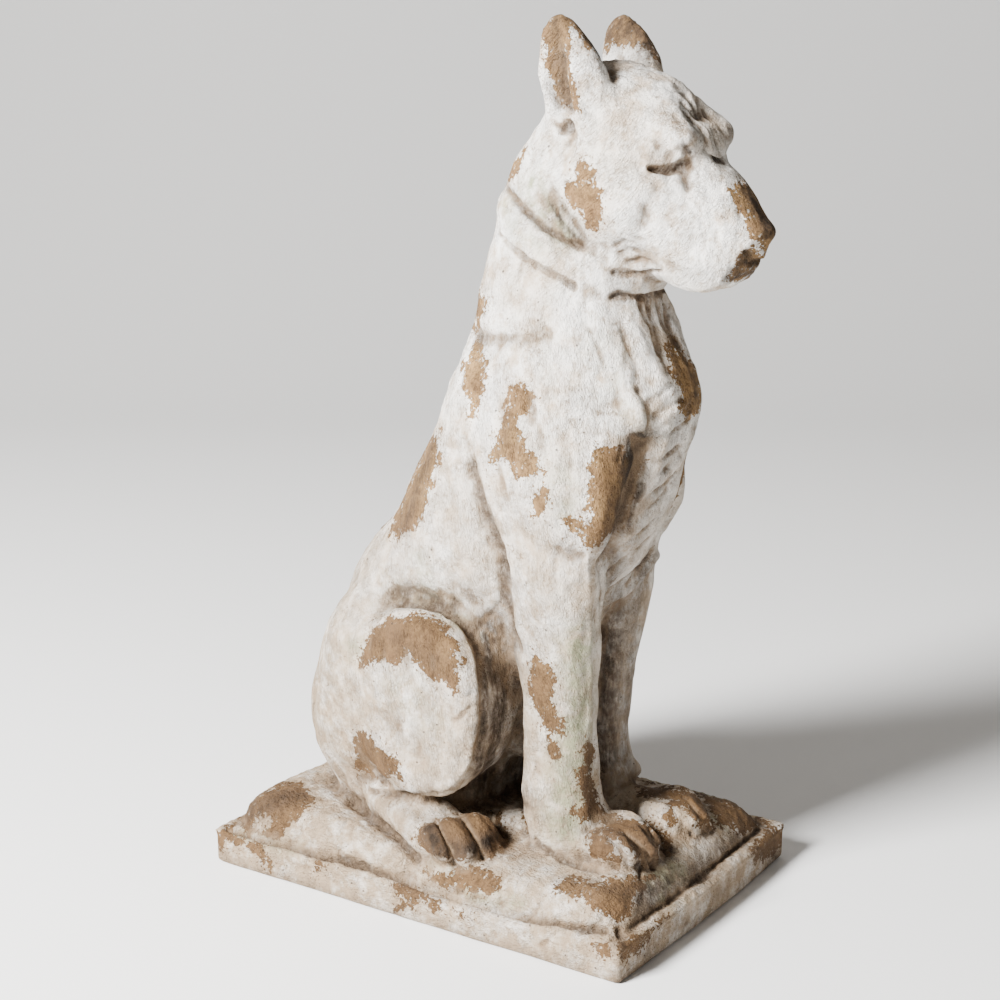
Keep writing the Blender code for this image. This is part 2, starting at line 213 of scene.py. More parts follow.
def relaxed(spots, rounds, pull=0.5):
    for _ in range(rounds):
        spots = spots + pull * (averaged(spots) - spots)
    return spots


def normals_of(spots):
    mesh.vertices.foreach_set("co", spots.ravel())
    mesh.update()
    flat = np.empty(len(spots) * 3)
    mesh.vertices.foreach_get("normal", flat)
    return flat.reshape(-1, 3)


print("the skin has", len(mesh.edges), "edges")

# %% The clay, smoothed and ready to be touched
points = relaxed(points, 4)
normals = normals_of(points)
smooth_normals = relaxed(normals, 6)
clay = BVHTree.FromPolygons(
    [Vector(p) for p in points], [tuple(face.vertices) for face in mesh.polygons]
)
print("a stroke can move any of", len(points), "points")


# %% Paths laid on the clay
def laid_path(path, spacing=3.0):
    """A path of places in millimetres, laid on the nearest clay."""
    run = []
    for start, end in zip(path, path[1:]):
        start, end = Vector(start) * MM, Vector(end) * MM
        steps = max(1, round((end - start).length / MM / spacing))
        for k in range(steps + 1):
            spot, normal, _, _ = clay.find_nearest(start.lerp(end, k / steps))
            run.append((spot, normal))
    return np.array(run)


def cast_path(path, spacing=3.0, jump=12.0):
    """A path of pixels laid on the clay, as pieces that don't leap over a gap."""
    if len(path[0]) == 3:
        return [laid_path(path)]
    runs = [[]]
    for (x0, y0), (x1, y1) in zip(path, path[1:]):
        steps = max(1, round(math.hypot(x1 - x0, y1 - y0) / spacing))
        for k in range(steps + 1):
            share = k / steps
            ray = sight(x0 + (x1 - x0) * share, y0 + (y1 - y0) * share)
            spot, normal, _, _ = clay.ray_cast(EYE, ray)
            if spot is None or (runs[-1] and (spot - runs[-1][-1][0]).length > jump * MM):
                runs.append([])
            if spot is not None:
                runs[-1].append((spot, normal))
    return [np.array(run) for run in runs if run]


thigh = cast_path([(420, 660), (430, 660)])[0][0, 0]
print("the side of the thigh is at, mm", [round(v / MM) for v in thigh])

# %% How much of a stroke each point gets
TURNED_AWAY = -0.1


def mirrored(run, shift):
    """The same run on the other side, a shift further back."""
    twin = run * (-1, 1, 1)
    twin[:, 0, 1] += shift * MM
    return twin


def distance(run, reach):
    """How far the points are from a run, in metres, for those within reach that face as it does."""
    low = run[:, 0].min(axis=0) - reach
    high = run[:, 0].max(axis=0) + reach
    close = np.flatnonzero(((points > low) & (points < high)).all(axis=1))
    best = np.full(len(close), np.inf)
    spots = points[close]
    for (start, facing), (end, _) in zip(run, np.concatenate([run[1:], run[-1:]])):
        span = end - start
        share = np.clip((spots - start) @ span / max(span @ span, 1e-12), 0, 1)
        gap = np.linalg.norm(spots - start - share[:, None] * span, axis=1)
        turned = smooth_normals[close] @ facing < TURNED_AWAY
        best = np.minimum(best, np.where(turned, np.inf, gap))
    return close, best


def faded(rows, reach, **laying):
    """For each row of (path, half width in mm, amount, twin): the amount, the points near the
    path and their share of it, 1 on the path and less beside it, up to reach half widths away.

    A twin is how far back the same path lies on the dog's other side, in mm, or None.
    """
    for path, half_width, amount, twin in rows:
        for run in cast_path(path, **laying):
            for copy in [run] if twin is None else [run, mirrored(run, twin)]:
                close, gap = distance(copy, reach * half_width * MM)
                yield amount, close, np.exp(-((gap / (half_width * MM)) ** 2))


def pressed(strokes):
    """The lift of every point, in mm, under strokes of (path, half width, rise, twin)."""
    lift = np.zeros(len(points))
    for rise, close, share in faded(strokes, reach=2.6):
        lift[close] += rise * share
    return lift


# %% Soft random lumps
# Large whole numbers that turn a cell of space and a seed into a number that looks random.
CELL_PRIMES = np.array((73856093, 19349663, 83492791))
SEED_STEP = 2654435
STIR = 1274126177


def lumps(spots, size, seed):
    """Soft random lumps of about a size in metres (one number, or three), from -0.5 to 0.5."""
    scaled = spots / size
    corner = np.floor(scaled).astype(np.int64)
    part = scaled - corner
    part = part * part * (3 - 2 * part)
    total = np.zeros(len(spots))
    for dx in (0, 1):
        for dy in (0, 1):
            for dz in (0, 1):
                cell = corner + (dx, dy, dz)
                code = cell @ CELL_PRIMES + seed * SEED_STEP
                code = (code ^ (code >> 13)) * STIR & 0x7FFFFFFF
                value = ((code ^ (code >> 16)) & 0xFFFF) / 0xFFFF - 0.5
                weight = np.ones(len(spots))
                for side, share in zip((dx, dy, dz), part.T):
                    weight = weight * (share if side else 1 - share)
                total += weight * value
    return total


sample = lumps(points[::500], 0.03, 0)
print("lumps run from", round(sample.min(), 2), "to", round(sample.max(), 2))

# %% [markdown]
# ## The head
# A cropped mastiff's head: heavy lids over small eyes, a frown of three deep folds between the
# brows, loose skin at the corner of the mouth, and ears like folded leaves. Each stroke below
# is one pull of a tool. Head and neck are the same on both sides, so each stroke has a twin.

# %% The head
HEAD_FORMS = [
    ([(696, 132), (702, 145), (701, 157)], 5, 1.6, 0),
    ([(684, 150), (689, 157), (690, 166)], 4, -2.6, 0),
    ([(648, 161), (660, 160), (672, 158)], 5, 1.4, 0),
    ([(706, 149), (713, 153), (720, 157)], 6, 4.5, 0),
    ([(684, 118), (690, 127), (692, 138)], 7, 1.6, 0),
    ([(658, 180), (668, 183), (678, 184)], 3.5, 1.3, 0),
    ([(682, 168), (687, 178), (688, 188)], 4, -2.2, 0),
    ([(640, 184), (664, 200), (690, 204)], 10, 1.6, 0),
    ([(656, 190), (650, 202), (645, 214), (641, 224)], 5, -2.2, 0),
    ([(558, 208), (570, 226), (582, 240)], 7, 2.2, 0),
    ([(545, 186), (549, 200), (556, 218), (568, 234)], 5, 2.0, 0),
    ([(558, 36), (559, 50)], 4, -2.2, 0),
    ([(560, 58), (562, 80), (568, 100)], 6, -4.5, 0),
    ([(604, 252), (620, 262), (640, 268)], 5, 2.0, 0),
    ([(604, 62), (611, 68), (612, 78), (606, 90)], 4, -1.2, 0),
    ([(700, 200), (716, 206), (730, 216)], 12, 1.2, 0),
    ([(726, 236), (736, 252), (738, 268)], 7, 1.8, 0),
    ([(757, 262), (764, 258)], 3.5, -3.0, 0),
    ([(736, 205), (742, 222), (750, 238), (758, 250)], 4, -1.2, 0),
    ([(655, 262), (674, 276), (700, 288)], 6, 1.6, 0),
    ([(500, 209), (515, 227), (540, 248), (565, 263), (592, 273)], 8, 1.8, 0),
    ([(618, 284), (640, 283), (660, 282)], 7, 1.8, 0),
    ([(696, 128), (698, 142)], 6, -1.6, 0),
]
HEAD_LINES = [
    ([(650, 168), (658, 171), (668, 172), (676, 170), (682, 166)], 2.0, -5.0, 0),
    ([(646, 163), (655, 163), (665, 163), (674, 160), (680, 155)], 2.4, 2.0, 0),
    ([(656, 177), (666, 179), (677, 177)], 2.4, 1.4, 0),
    ([(652, 154), (662, 152), (674, 147)], 2.2, 1.0, 0),
    ([(-16, -188, 719), (-13, -206, 713), (-14, -217, 703), (-18, -222, 690)], 2.6, -3.6, 0),
    ([(-9, -180, 721), (-6, -200, 718), (-6, -216, 708), (-8, -221, 692)], 2.4, -3.2, 0),
    ([(0, -172, 721), (0, -196, 720), (0, -218, 706), (0, -220, 692)], 2.4, -2.8, None),
    ([(650, 84), (668, 88), (682, 94)], 2.4, -1.0, 0),
    ([(656, 94), (672, 98), (684, 104), (692, 112)], 2.4, -1.4, 0),
    ([(640, 104), (652, 100), (664, 102)], 2.6, -0.8, 0),
    ([(616, 246), (624, 240), (634, 243)], 2.0, -2.0, 0),
    ([(620, 254), (629, 248), (637, 251)], 2.0, -2.0, 0),
    ([(622, 233), (632, 238), (646, 240)], 2.0, -1.6, 0),
    ([(628, 262), (640, 259), (652, 262), (662, 268)], 2.2, -3.2, 0),
    ([(745, 251), (751, 256), (752, 264)], 2.4, -5.0, 0),
    ([(741, 249), (750, 244), (759, 249), (762, 258)], 2.6, 2.0, 0),
    ([(726, 280), (733, 271), (742, 262)], 2.4, -2.4, 0),
    ([(738, 283), (745, 276), (754, 268)], 2.0, -2.4, 0),
    ([(546, 30), (543, 52), (542, 74), (546, 92), (553, 106), (563, 114), (576, 119)], 2.6, 2.6, 0),
    ([(564, 24), (569, 42), (572, 62), (575, 82), (579, 100), (583, 116)], 2.4, 2.4, 0),
    ([(553, 62), (551, 78), (554, 94), (562, 106), (574, 112)], 2.0, -2.4, 0),
    ([(555, 124), (563, 130), (571, 127), (578, 120)], 2.6, -2.4, 0),
    ([(547, 120), (551, 131), (562, 139), (575, 136)], 3.2, 2.0, 0),
    ([(556, 206), (566, 222), (584, 243)], 2.0, -2.6, 0),
    ([(562, 203), (574, 220), (588, 240)], 2.0, -1.4, 0),
    ([(506, 183), (512, 195), (526, 211), (547, 229), (566, 240), (583, 247)], 2.4, -3.8, 0),
    ([(511, 203), (526, 220), (547, 238), (566, 249), (583, 256)], 3.0, 1.6, 0),
    ([(499, 232), (508, 244), (520, 255), (540, 268), (556, 276), (575, 287)], 2.2, -3.4, 0),
    ([(612, 297), (620, 294), (640, 297), (662, 294)], 2.6, -4.4, 0),
    ([(614, 273), (630, 274), (646, 271), (662, 271)], 2.4, -3.4, 0),
    ([(588, 262), (600, 268), (614, 272)], 2.6, -1.6, 0),
]
print("the head:", len(HEAD_FORMS), "forms and", len(HEAD_LINES), "lines")

# %% [markdown]
# ## The trunk and the forelegs
# The chest falls in long locks of coat to a tuft above the forelegs, a fold crosses the nape,
# and a groove parts the arm from the ribs. The forelegs are squared off like a table's legs.

# %% The trunk and the forelegs
TRUNK_FORMS = [
    ([(474, 333), (488, 337), (502, 340), (522, 338), (544, 332)], 10, -4.0, 0),
    ([(478, 322), (500, 326), (524, 324)], 8, 2.0, 0),
    ([(488, 352), (512, 356), (540, 352)], 9, 1.6, 0),
    ([(600, 312), (612, 346), (624, 378), (634, 402), (640, 424)], 8, 3.6, 0),
    ([(574, 330), (586, 372), (592, 410)], 10, -1.4, 0),
    ([(646, 444), (643, 468), (634, 498), (622, 528), (610, 554)], 13, -10.0, 0),
    ([(634, 404), (641, 424), (645, 436)], 7, 4.0, 0),
    ([(596, 452), (602, 486), (600, 520), (590, 545)], 10, 3.0, 0),
    ([(532, 400), (536, 425), (544, 452)], 7, -3.0, 0),
    ([(514, 404), (508, 430), (510, 456)], 9, 2.4, 0),
    ([(545, 470), (540, 500), (546, 530)], 10, -2.0, 0),
    ([(566, 462), (570, 500)], 8, -1.6, 0),
    ([(472, 466), (478, 492), (485, 512), (493, 531), (500, 548), (503, 566)], 6, -4.4, 0),
    ([(458, 470), (464, 500), (474, 532), (484, 560)], 9, 2.2, 0),
    ([(440, 545), (450, 575), (470, 598)], 10, -1.8, 0),
    ([(655, 556), (640, 576), (624, 590), (606, 600)], 6, 5.0, None),
    ([(503, 566), (504, 588), (508, 608), (513, 630), (519, 650)], 4.5, -4.4, None),
    ([(601, 560), (602, 600), (600, 650), (600, 720)], 5, -3.0, None),
    ([(632, 764), (636, 771)], 6, 6.0, None),
    ([(658, 300), (664, 322), (676, 342), (690, 362)], 5, -3.5, 0),
    ([(656, 430), (668, 418), (684, 404)], 6, 2.4, None),
    ([(640, 500), (656, 482), (676, 462)], 6, 2.4, None),
    ([(624, 540), (640, 526), (660, 508)], 6, 2.4, None),
    ([(588, 560), (587, 640), (590, 730)], 4, 1.6, None),
    ([(536, 566), (548, 590), (556, 620)], 9, 1.6, None),
    ([(575, 552), (566, 560), (556, 552)], 7, -2.0, None),
]
TRUNK_LINES = [
    ([(638, 390), (645, 410), (650, 432)], 2.6, -5.0, 0),
    ([(633, 438), (631, 450), (627, 462)], 2.0, -3.2, 0),
    ([(622, 446), (618, 462)], 2.0, -1.6, 0),
    ([(664, 300), (669, 322), (682, 346)], 2.6, -3.6, 0),
    ([(648, 402), (660, 396), (672, 384)], 2.6, -2.0, None),
    ([(654, 416), (668, 408), (682, 398)], 2.6, -2.0, None),
    ([(650, 436), (664, 426), (680, 412), (690, 404)], 2.6, -2.4, None),
    ([(646, 458), (660, 444), (676, 430), (690, 420)], 2.6, -2.2, None),
    ([(644, 476), (660, 462), (680, 446)], 2.6, -2.4, None),
    ([(636, 494), (650, 482), (668, 466), (682, 452)], 2.6, -2.2, None),
    ([(630, 514), (644, 502), (662, 486), (676, 472)], 2.6, -2.4, None),
    ([(622, 534), (638, 520), (656, 502), (668, 488)], 2.6, -2.2, None),
    ([(612, 556), (630, 540), (650, 524), (662, 508)], 2.6, -2.4, None),
    ([(606, 574), (622, 560), (642, 546), (656, 530)], 2.4, -2.2, None),
    ([(606, 592), (622, 580), (640, 566), (652, 550)], 2.2, -2.2, None),
    ([(590, 330), (600, 352), (606, 370)], 2.6, -1.4, 0),
    ([(604, 318), (612, 340), (616, 362)], 2.6, -1.4, 0),
    ([(622, 330), (630, 352), (638, 372)], 2.6, -1.2, 0),
    ([(636, 318), (648, 340), (660, 362)], 2.6, -1.2, 0),
    ([(587, 556), (588, 620), (589, 700), (591, 736)], 2.2, 1.6, None),
    ([(526, 610), (530, 680), (532, 750), (535, 815)], 3.0, 1.2, None),
    ([(556, 548), (564, 556), (574, 560), (584, 556)], 3.4, -2.0, None),
    ([(553, 566), (560, 548), (570, 540)], 2.6, -1.4, None),
    ([(500, 470), (504, 492), (512, 512)], 3.0, -1.4, 0),
    ([(470, 640), (484, 620), (500, 604)], 3.0, -1.6, None),
]
print("the trunk and forelegs:", len(TRUNK_FORMS), "forms and", len(TRUNK_LINES), "lines")

# %% [markdown]
# ## The thigh, the paws and the ground
# The thigh is a thick disc with a sharp rim in front. The paws are blocky, with deep cuts
# between the toes. The ground is modelled by hand: a lobe swells up beside the hind foot, and
# the edge all round sinks into a groove along the slab. The front corner has lost some clay.

# %% The thigh, the paws and the ground
THIGH_RIM = [(384, 618), (402, 612), (422, 611), (440, 615), (456, 626), (467, 642), (473, 664)]
THIGH_RIM += [(475, 690), (475, 716), (473, 742), (467, 765), (455, 782), (440, 790)]
THIGH_HOLLOW = [(402, 603), (426, 603), (447, 610), (465, 625), (477, 645), (482, 670)]
THIGH_HOLLOW += [(483, 700), (481, 732), (476, 760), (464, 786)]
LEFT_EDGE = [(228, 828), (245, 834), (262, 840), (290, 847), (322, 857), (345, 861), (375, 871)]
LEFT_EDGE += [(400, 880), (413, 885), (433, 893), (467, 904), (500, 912), (533, 920), (570, 926)]
LEFT_EDGE += [(605, 930)]
FRONT_EDGE = [(623, 936), (643, 920), (677, 897), (710, 870), (742, 843), (760, 828)]
GROUND_FORMS = [
    (THIGH_HOLLOW, 6, -4.5, 0),
    ([(470, 628), (450, 606), (430, 596), (410, 590), (395, 592)], 6, -2.6, 0),
    ([(390, 575), (420, 580), (446, 592), (474, 612)], 8, 2.0, 0),
    ([(352, 804), (368, 814), (384, 826), (396, 836), (408, 848), (416, 858)], 5, -5.0, 26),
    ([(322, 816), (346, 826), (376, 842), (402, 858)], 9, 4.5, 0),
    ([(262, 806), (286, 794), (304, 790)], 14, 2.5, None),
    ([(506, 812), (520, 818)], 9, 5.0, None),
    ([(560, 886), (600, 892), (632, 880)], 14, 2.4, None),
    ([(426, 832), (436, 846), (446, 857)], 5, 2.8, 26),
    ([(449, 821), (459, 836), (470, 853)], 5, 3.4, 26),
    ([(473, 815), (485, 829), (497, 847)], 5, 3.4, 26),
    ([(594, 838), (600, 848), (606, 860)], 5, 2.4, None),
    ([(618, 836), (628, 848), (636, 862)], 4, 2.8, None),
    ([(636, 828), (646, 842), (656, 856)], 4, 2.8, None),
    ([(655, 826), (664, 838), (668, 846)], 3.5, 2.4, None),
    ([(662, 806), (676, 812), (688, 828)], 4, 2.4, None),
    ([(690, 800), (700, 812), (708, 826)], 4, 2.4, None),
    ([(523, 735), (513, 745), (505, 760), (501, 774)], 5, 3.0, None),
    ([(494, 772), (489, 784), (492, 796)], 5, -2.5, None),
    ([(360, 690), (390, 720), (410, 740)], 12, -1.6, 0),
    ([(452, 700), (462, 690), (470, 684)], 5, 1.4, 0),
    ([(452, 740), (462, 728), (470, 722)], 5, 1.4, 0),
    ([(364, 786), (390, 789), (420, 789), (444, 785)], 4, 1.6, 0),
    ([(334, 700), (352, 690), (360, 660), (372, 632)], 8, -1.4, 0),
    ([(340, 770), (346, 788), (356, 800)], 6, -2.0, 26),
    ([(234, 843), (262, 851), (300, 860), (345, 874), (385, 887)], 4, 1.4, None),
    ([(430, 905), (470, 917), (520, 930), (560, 938)], 4, 1.4, None),
]
GROUND_LINES = [
    (THIGH_RIM, 2.4, 2.2, 0),
    ([(370, 791), (390, 794), (410, 794), (430, 795), (446, 791)], 2.8, -4.0, 0),
    ([(475, 705), (466, 711), (454, 721)], 2.0, -2.6, 0),
    ([(474, 716), (464, 725), (452, 737)], 2.0, -2.2, 0),
    ([(474, 692), (463, 699)], 1.8, -1.8, 0),
    ([(472, 748), (460, 756)], 1.8, -1.4, 0),
    ([(440, 590), (460, 605), (480, 623), (495, 642)], 3.4, -2.4, 0),
    ([(437, 822), (444, 836), (451, 850), (452, 863)], 2.2, -5.5, 26),
    ([(461, 814), (470, 830), (478, 842), (483, 858)], 2.2, -5.5, 26),
    ([(486, 812), (496, 826), (505, 838)], 2.0, -4.6, 26),
    ([(609, 839), (617, 847), (625, 858), (629, 869)], 2.0, -4.4, None),
    ([(626, 832), (636, 842), (646, 854), (653, 867)], 2.0, -5.0, None),
    ([(646, 823), (654, 836), (662, 846), (669, 854)], 2.0, -5.0, None),
    ([(536, 841), (548, 850), (562, 860), (580, 867), (602, 873)], 2.8, -3.4, None),
    ([(659, 813), (672, 810), (680, 818), (686, 826), (692, 835)], 2.0, -4.0, None),
    ([(684, 796), (694, 808), (704, 820), (711, 831)], 2.0, -4.0, None),
    (LEFT_EDGE, 3.0, -5.4, None),
    (FRONT_EDGE, 2.6, -2.6, None),
    ([(560, 931), (575, 936), (590, 930), (602, 920)], 3.0, -3.2, None),
    ([(540, 946), (548, 940), (556, 934)], 1.8, -2.6, None),
    ([(578, 941), (598, 941), (615, 938)], 2.2, -2.8, None),
    ([(596, 949), (606, 944)], 3.2, -2.6, None),
    ([(618, 930), (620, 938)], 2.8, -3.4, None),
    ([(641, 868), (640, 880)], 1.8, -3.4, None),
    ([(679, 932), (684, 919)], 1.6, -2.4, None),
    ([(262, 843), (264, 852)], 1.6, -2.0, None),
    ([(700, 880), (712, 874)], 2.4, -2.0, None),
    ([(300, 866), (312, 868)], 2.4, -1.6, None),
]
print("the thigh, paws and ground:", len(GROUND_FORMS), "forms and", len(GROUND_LINES), "lines")

# %% [markdown]
# ## The strokes pressed in
# The broad forms go in first, and the clay is stroked smooth over them. Then come the fine lines,
# which are left almost as the tool leaves them.

# %% The strokes pressed in
lift = pressed(HEAD_FORMS + TRUNK_FORMS + GROUND_FORMS)
points = points + smooth_normals * (lift * MM)[:, None]
points = relaxed(points, 2)
normals = normals_of(points)
smooth_normals = relaxed(normals, 2)
line_lift = pressed(HEAD_LINES + TRUNK_LINES + GROUND_LINES)
points = points + smooth_normals * (line_lift * MM)[:, None]
points = relaxed(points, 1, pull=0.35)
print("strokes sink the clay by up to", round(-line_lift.min(), 1), "mm")

# %% [markdown]
# ## Uneven hand work and coat
# A modeller's surface is never true: thumbs leave it wavy by a millimetre or so, and a comb of
# small tools drags short hollows along the lie of the coat, mostly downwards. The slab bellies
# out a little between its corners.

# %% Uneven hand work and coat
BROAD_WAVE = 0.034
THUMB_WAVE = 0.013
COAT_LOCK = np.array((0.0050, 0.0050, 0.020))
GROUND_DAB = np.array((0.0055, 0.0040, 0.0055))
GROUND_TOP = 0.075
normals = normals_of(points)
uneven = 2.6 * lumps(points, BROAD_WAVE, 1) + 1.6 * lumps(points, THUMB_WAVE, 2)
on_dog = np.clip((points[:, 2] - GROUND_TOP) / 0.02, 0, 1)
coat = lumps(points, COAT_LOCK, 3) * on_dog
stipple = lumps(points, GROUND_DAB, 4) * (1 - on_dog)
slab_side = np.clip((SLAB[2] - 2 * MM - points[:, 2]) / (4 * MM), 0, 1)
lift = uneven * (1 - 0.6 * slab_side) + 1.9 * coat + 2.0 * stipple * (1 - slab_side)
lift *= 1 - 0.25 * slab_side
points = points + normals * (lift * MM)[:, None]
SLAB_BOW = 0.004
bow = SLAB_BOW * np.clip(1 - (2 * points[:, 0] / SLAB[0]) ** 2, 0, 1)
bow *= np.clip(-2 * points[:, 1] / SLAB[1], 0, 1) ** 12
points[:, 1] -= bow * slab_side
points[:, 2] = np.maximum(points[:, 2], 0.0)
normals = normals_of(points)
print("hand work lifts and sinks the clay by", round(np.abs(lift).max(), 1), "mm at most")

# %% [markdown]
# ## Where the paint is gone
# The bare clay shows in ragged islands. Their outlines are drawn over the photo as rings of
# pixels, and each point of the clay that the camera sees gets its distance from the nearest
# ring, in millimetres, positive inside. The far side is never seen in the photo, so it takes
# the same islands, mirrored and moved, as weather works on both sides alike.

# %% Where the paint is gone
BARE = [
    [(575, 162), (583, 160), (590, 166), (594, 172), (592, 180), (600, 186), (604, 196), (604, 212),
     (601, 224), (598, 233), (590, 230), (582, 222), (578, 212), (570, 206), (564, 200), (562, 192),
     (566, 184), (574, 182), (578, 176), (572, 170)],
    [(733, 188), (745, 178), (795, 215), (795, 262), (764, 263), (761, 248), (752, 236), (746, 222),
     (741, 208), (731, 206)],
    [(727, 276), (735, 264), (742, 252), (752, 247), (762, 256), (760, 270), (752, 280), (740, 284),
     (730, 284)],
    [(542, 32), (546, 16), (556, 6), (572, 8), (574, 22), (572, 48), (570, 56), (572, 66),
     (574, 84), (578, 100), (580, 112), (572, 110), (560, 100), (552, 90), (548, 76), (546, 60),
     (545, 44)],
    [(565, 12), (569, 26), (580, 38), (590, 48), (597, 46), (582, 26), (569, 10)],
    [(614, 8), (636, 8), (654, 30), (664, 50), (664, 64), (656, 60), (650, 50), (644, 46),
     (630, 42), (622, 42), (618, 46), (612, 44), (610, 52), (602, 58), (602, 44), (607, 28)],
    [(528, 146), (526, 158), (520, 167), (512, 177), (505, 180), (504, 172), (514, 160)],
    [(476, 288), (484, 296), (487, 308), (484, 318), (484, 328), (478, 332), (466, 328),
     (468, 300)],
    [(476, 344), (482, 344), (484, 360), (486, 376), (482, 392), (480, 402), (474, 420), (469, 414),
     (468, 398), (464, 392), (461, 376), (462, 362), (470, 352)],
    [(512, 388), (524, 383), (532, 388), (537, 398), (534, 406), (526, 412), (521, 420), (519, 428),
     (524, 434), (522, 440), (528, 448), (534, 454), (540, 460), (543, 470), (544, 480), (549, 484),
     (546, 488), (540, 482), (532, 474), (522, 480), (514, 474), (512, 464), (502, 462), (494, 464),
     (490, 476), (487, 470), (489, 454), (494, 440), (500, 425), (504, 412), (507, 400)],
    [(535, 492), (545, 488), (550, 492), (547, 502), (544, 514), (535, 516), (532, 510)],
    [(588, 452), (594, 446), (602, 447), (612, 450), (622, 447), (630, 456), (636, 462), (646, 462),
     (642, 472), (634, 482), (632, 500), (626, 516), (618, 530), (604, 540), (590, 548), (580, 548),
     (582, 538), (576, 534), (586, 524), (588, 508), (587, 490), (590, 476), (588, 464)],
    [(565, 522), (575, 518), (585, 520), (578, 530), (574, 540), (568, 536)],
    [(663, 352), (668, 345), (672, 338), (680, 350), (690, 360), (704, 378), (706, 400), (700, 414),
     (686, 420), (680, 414), (680, 400), (678, 388), (676, 378), (668, 374), (670, 364),
     (665, 358)],
    [(438, 430), (440, 448), (438, 462), (434, 476), (432, 490), (428, 504), (424, 516), (420, 528),
     (408, 532), (394, 540), (388, 528), (396, 508), (402, 492), (410, 474), (418, 456),
     (428, 438)],
    [(375, 625), (388, 619), (404, 616), (420, 614), (432, 617), (440, 618), (448, 628), (454, 636),
     (458, 646), (460, 656), (466, 660), (460, 668), (458, 678), (462, 686), (456, 694), (448, 690),
     (440, 680), (432, 678), (424, 674), (416, 664), (410, 656), (400, 662), (388, 666), (376, 664),
     (366, 666), (358, 662), (362, 650), (368, 640)],
    [(356, 730), (364, 728), (372, 736), (380, 744), (384, 752), (394, 754), (398, 764), (404, 774),
     (402, 782), (390, 774), (386, 782), (374, 782), (362, 776), (356, 764), (354, 750),
     (352, 740)],
    [(532, 652), (537, 650), (542, 658), (548, 662), (552, 672), (558, 678), (554, 690), (552, 700),
     (558, 706), (556, 714), (562, 722), (565, 734), (560, 740), (556, 732), (550, 736), (556, 744),
     (560, 756), (558, 760), (550, 752), (545, 740), (540, 728), (538, 712), (532, 702), (529, 690),
     (530, 672), (529, 662)],
    [(582, 738), (593, 742), (592, 760), (589, 778), (597, 786), (598, 800), (606, 812), (620, 818),
     (636, 820), (650, 820), (660, 830), (670, 840), (670, 850), (662, 860), (652, 868), (642, 872),
     (636, 858), (626, 846), (616, 838), (606, 836), (618, 850), (626, 860), (620, 868), (608, 862),
     (596, 858), (588, 856), (586, 846), (588, 838), (596, 830), (606, 826), (590, 822), (578, 818),
     (570, 812), (572, 804), (580, 806), (584, 798), (578, 786), (576, 776), (582, 760)],
    [(418, 830), (428, 825), (440, 818), (452, 815), (462, 814), (468, 810), (478, 808), (492, 812),
     (500, 816), (510, 830), (510, 842), (500, 852), (488, 858), (480, 848), (470, 853), (462, 861),
     (450, 861), (440, 858), (430, 853), (420, 846), (414, 838)],
    [(636, 782), (650, 781), (668, 786), (686, 786), (702, 798), (712, 814), (713, 828), (704, 834),
     (694, 828), (690, 816), (678, 806), (664, 800), (652, 798), (640, 796)],
    [(660, 812), (672, 808), (682, 818), (676, 826), (664, 822)],
    [(690, 788), (720, 796), (742, 802), (756, 812), (766, 822), (756, 832), (742, 836), (730, 830),
     (718, 824), (708, 812)],
    [(550, 890), (562, 880), (580, 879), (584, 886), (600, 882), (616, 876), (630, 874), (640, 878),
     (650, 872), (658, 876), (646, 886), (638, 896), (634, 908), (628, 920), (618, 924), (608, 916),
     (598, 910), (588, 900), (580, 896), (566, 896)],
    [(595, 944), (606, 940), (612, 944), (616, 950), (614, 958), (604, 958), (596, 952)],
    [(617, 944), (630, 935), (645, 932), (648, 940), (642, 950), (632, 960), (622, 962),
     (618, 955)],
    [(650, 928), (660, 920), (670, 910), (668, 920), (660, 928), (654, 934)],
    [(750, 848), (760, 836), (766, 826), (786, 826), (786, 846), (768, 860), (756, 862)],
    [(212, 830), (232, 826), (240, 836), (250, 840), (262, 842), (272, 848), (264, 852), (270, 862),
     (276, 872), (270, 876), (262, 866), (252, 850), (240, 848), (228, 846), (222, 850),
     (214, 842)],
    [(244, 802), (262, 792), (280, 784), (300, 783), (308, 790), (314, 800), (306, 812), (294, 820),
     (284, 832), (276, 838), (264, 834), (270, 822), (262, 812), (256, 824), (248, 832),
     (240, 822)],
    [(316, 862), (324, 860), (322, 870), (319, 880), (316, 872)],
    [(392, 882), (402, 882), (412, 888), (426, 896), (440, 900), (444, 906), (436, 914), (428, 912),
     (430, 902), (418, 900), (412, 908), (404, 912), (400, 920), (396, 912), (402, 900),
     (398, 892)],
    [(462, 915), (478, 912), (472, 918), (464, 920)],
    [(424, 872), (436, 872), (448, 876), (452, 870), (466, 866), (480, 866), (490, 874), (500, 880),
     (498, 888), (488, 896), (470, 892), (456, 886), (440, 884), (430, 880)],
]

print(len(BARE), "rings")

# %% What the camera sees, and how deep in a ring it is
CELL_PIXELS = 5
CELLS = PICTURE // CELL_PIXELS
HIDDEN_BEHIND = 0.022
GRAZING = -0.05


def seen(spots, facing):
    """Which points the camera sees: those turned to it, with nothing in front of them."""
    where, depth = pixels(spots)
    grid = np.clip((where / CELL_PIXELS).astype(int), 0, CELLS - 1)
    key = grid[:, 1] * CELLS + grid[:, 0]
    front = np.full(CELLS**2, np.inf)
    np.minimum.at(front, key, depth)
    towards = np.array(EYE) - spots
    towards /= np.linalg.norm(towards, axis=1)[:, None]
    turned = (facing * towards).sum(axis=1)
    return where, (depth < front[key] + HIDDEN_BEHIND) & (turned > GRAZING)


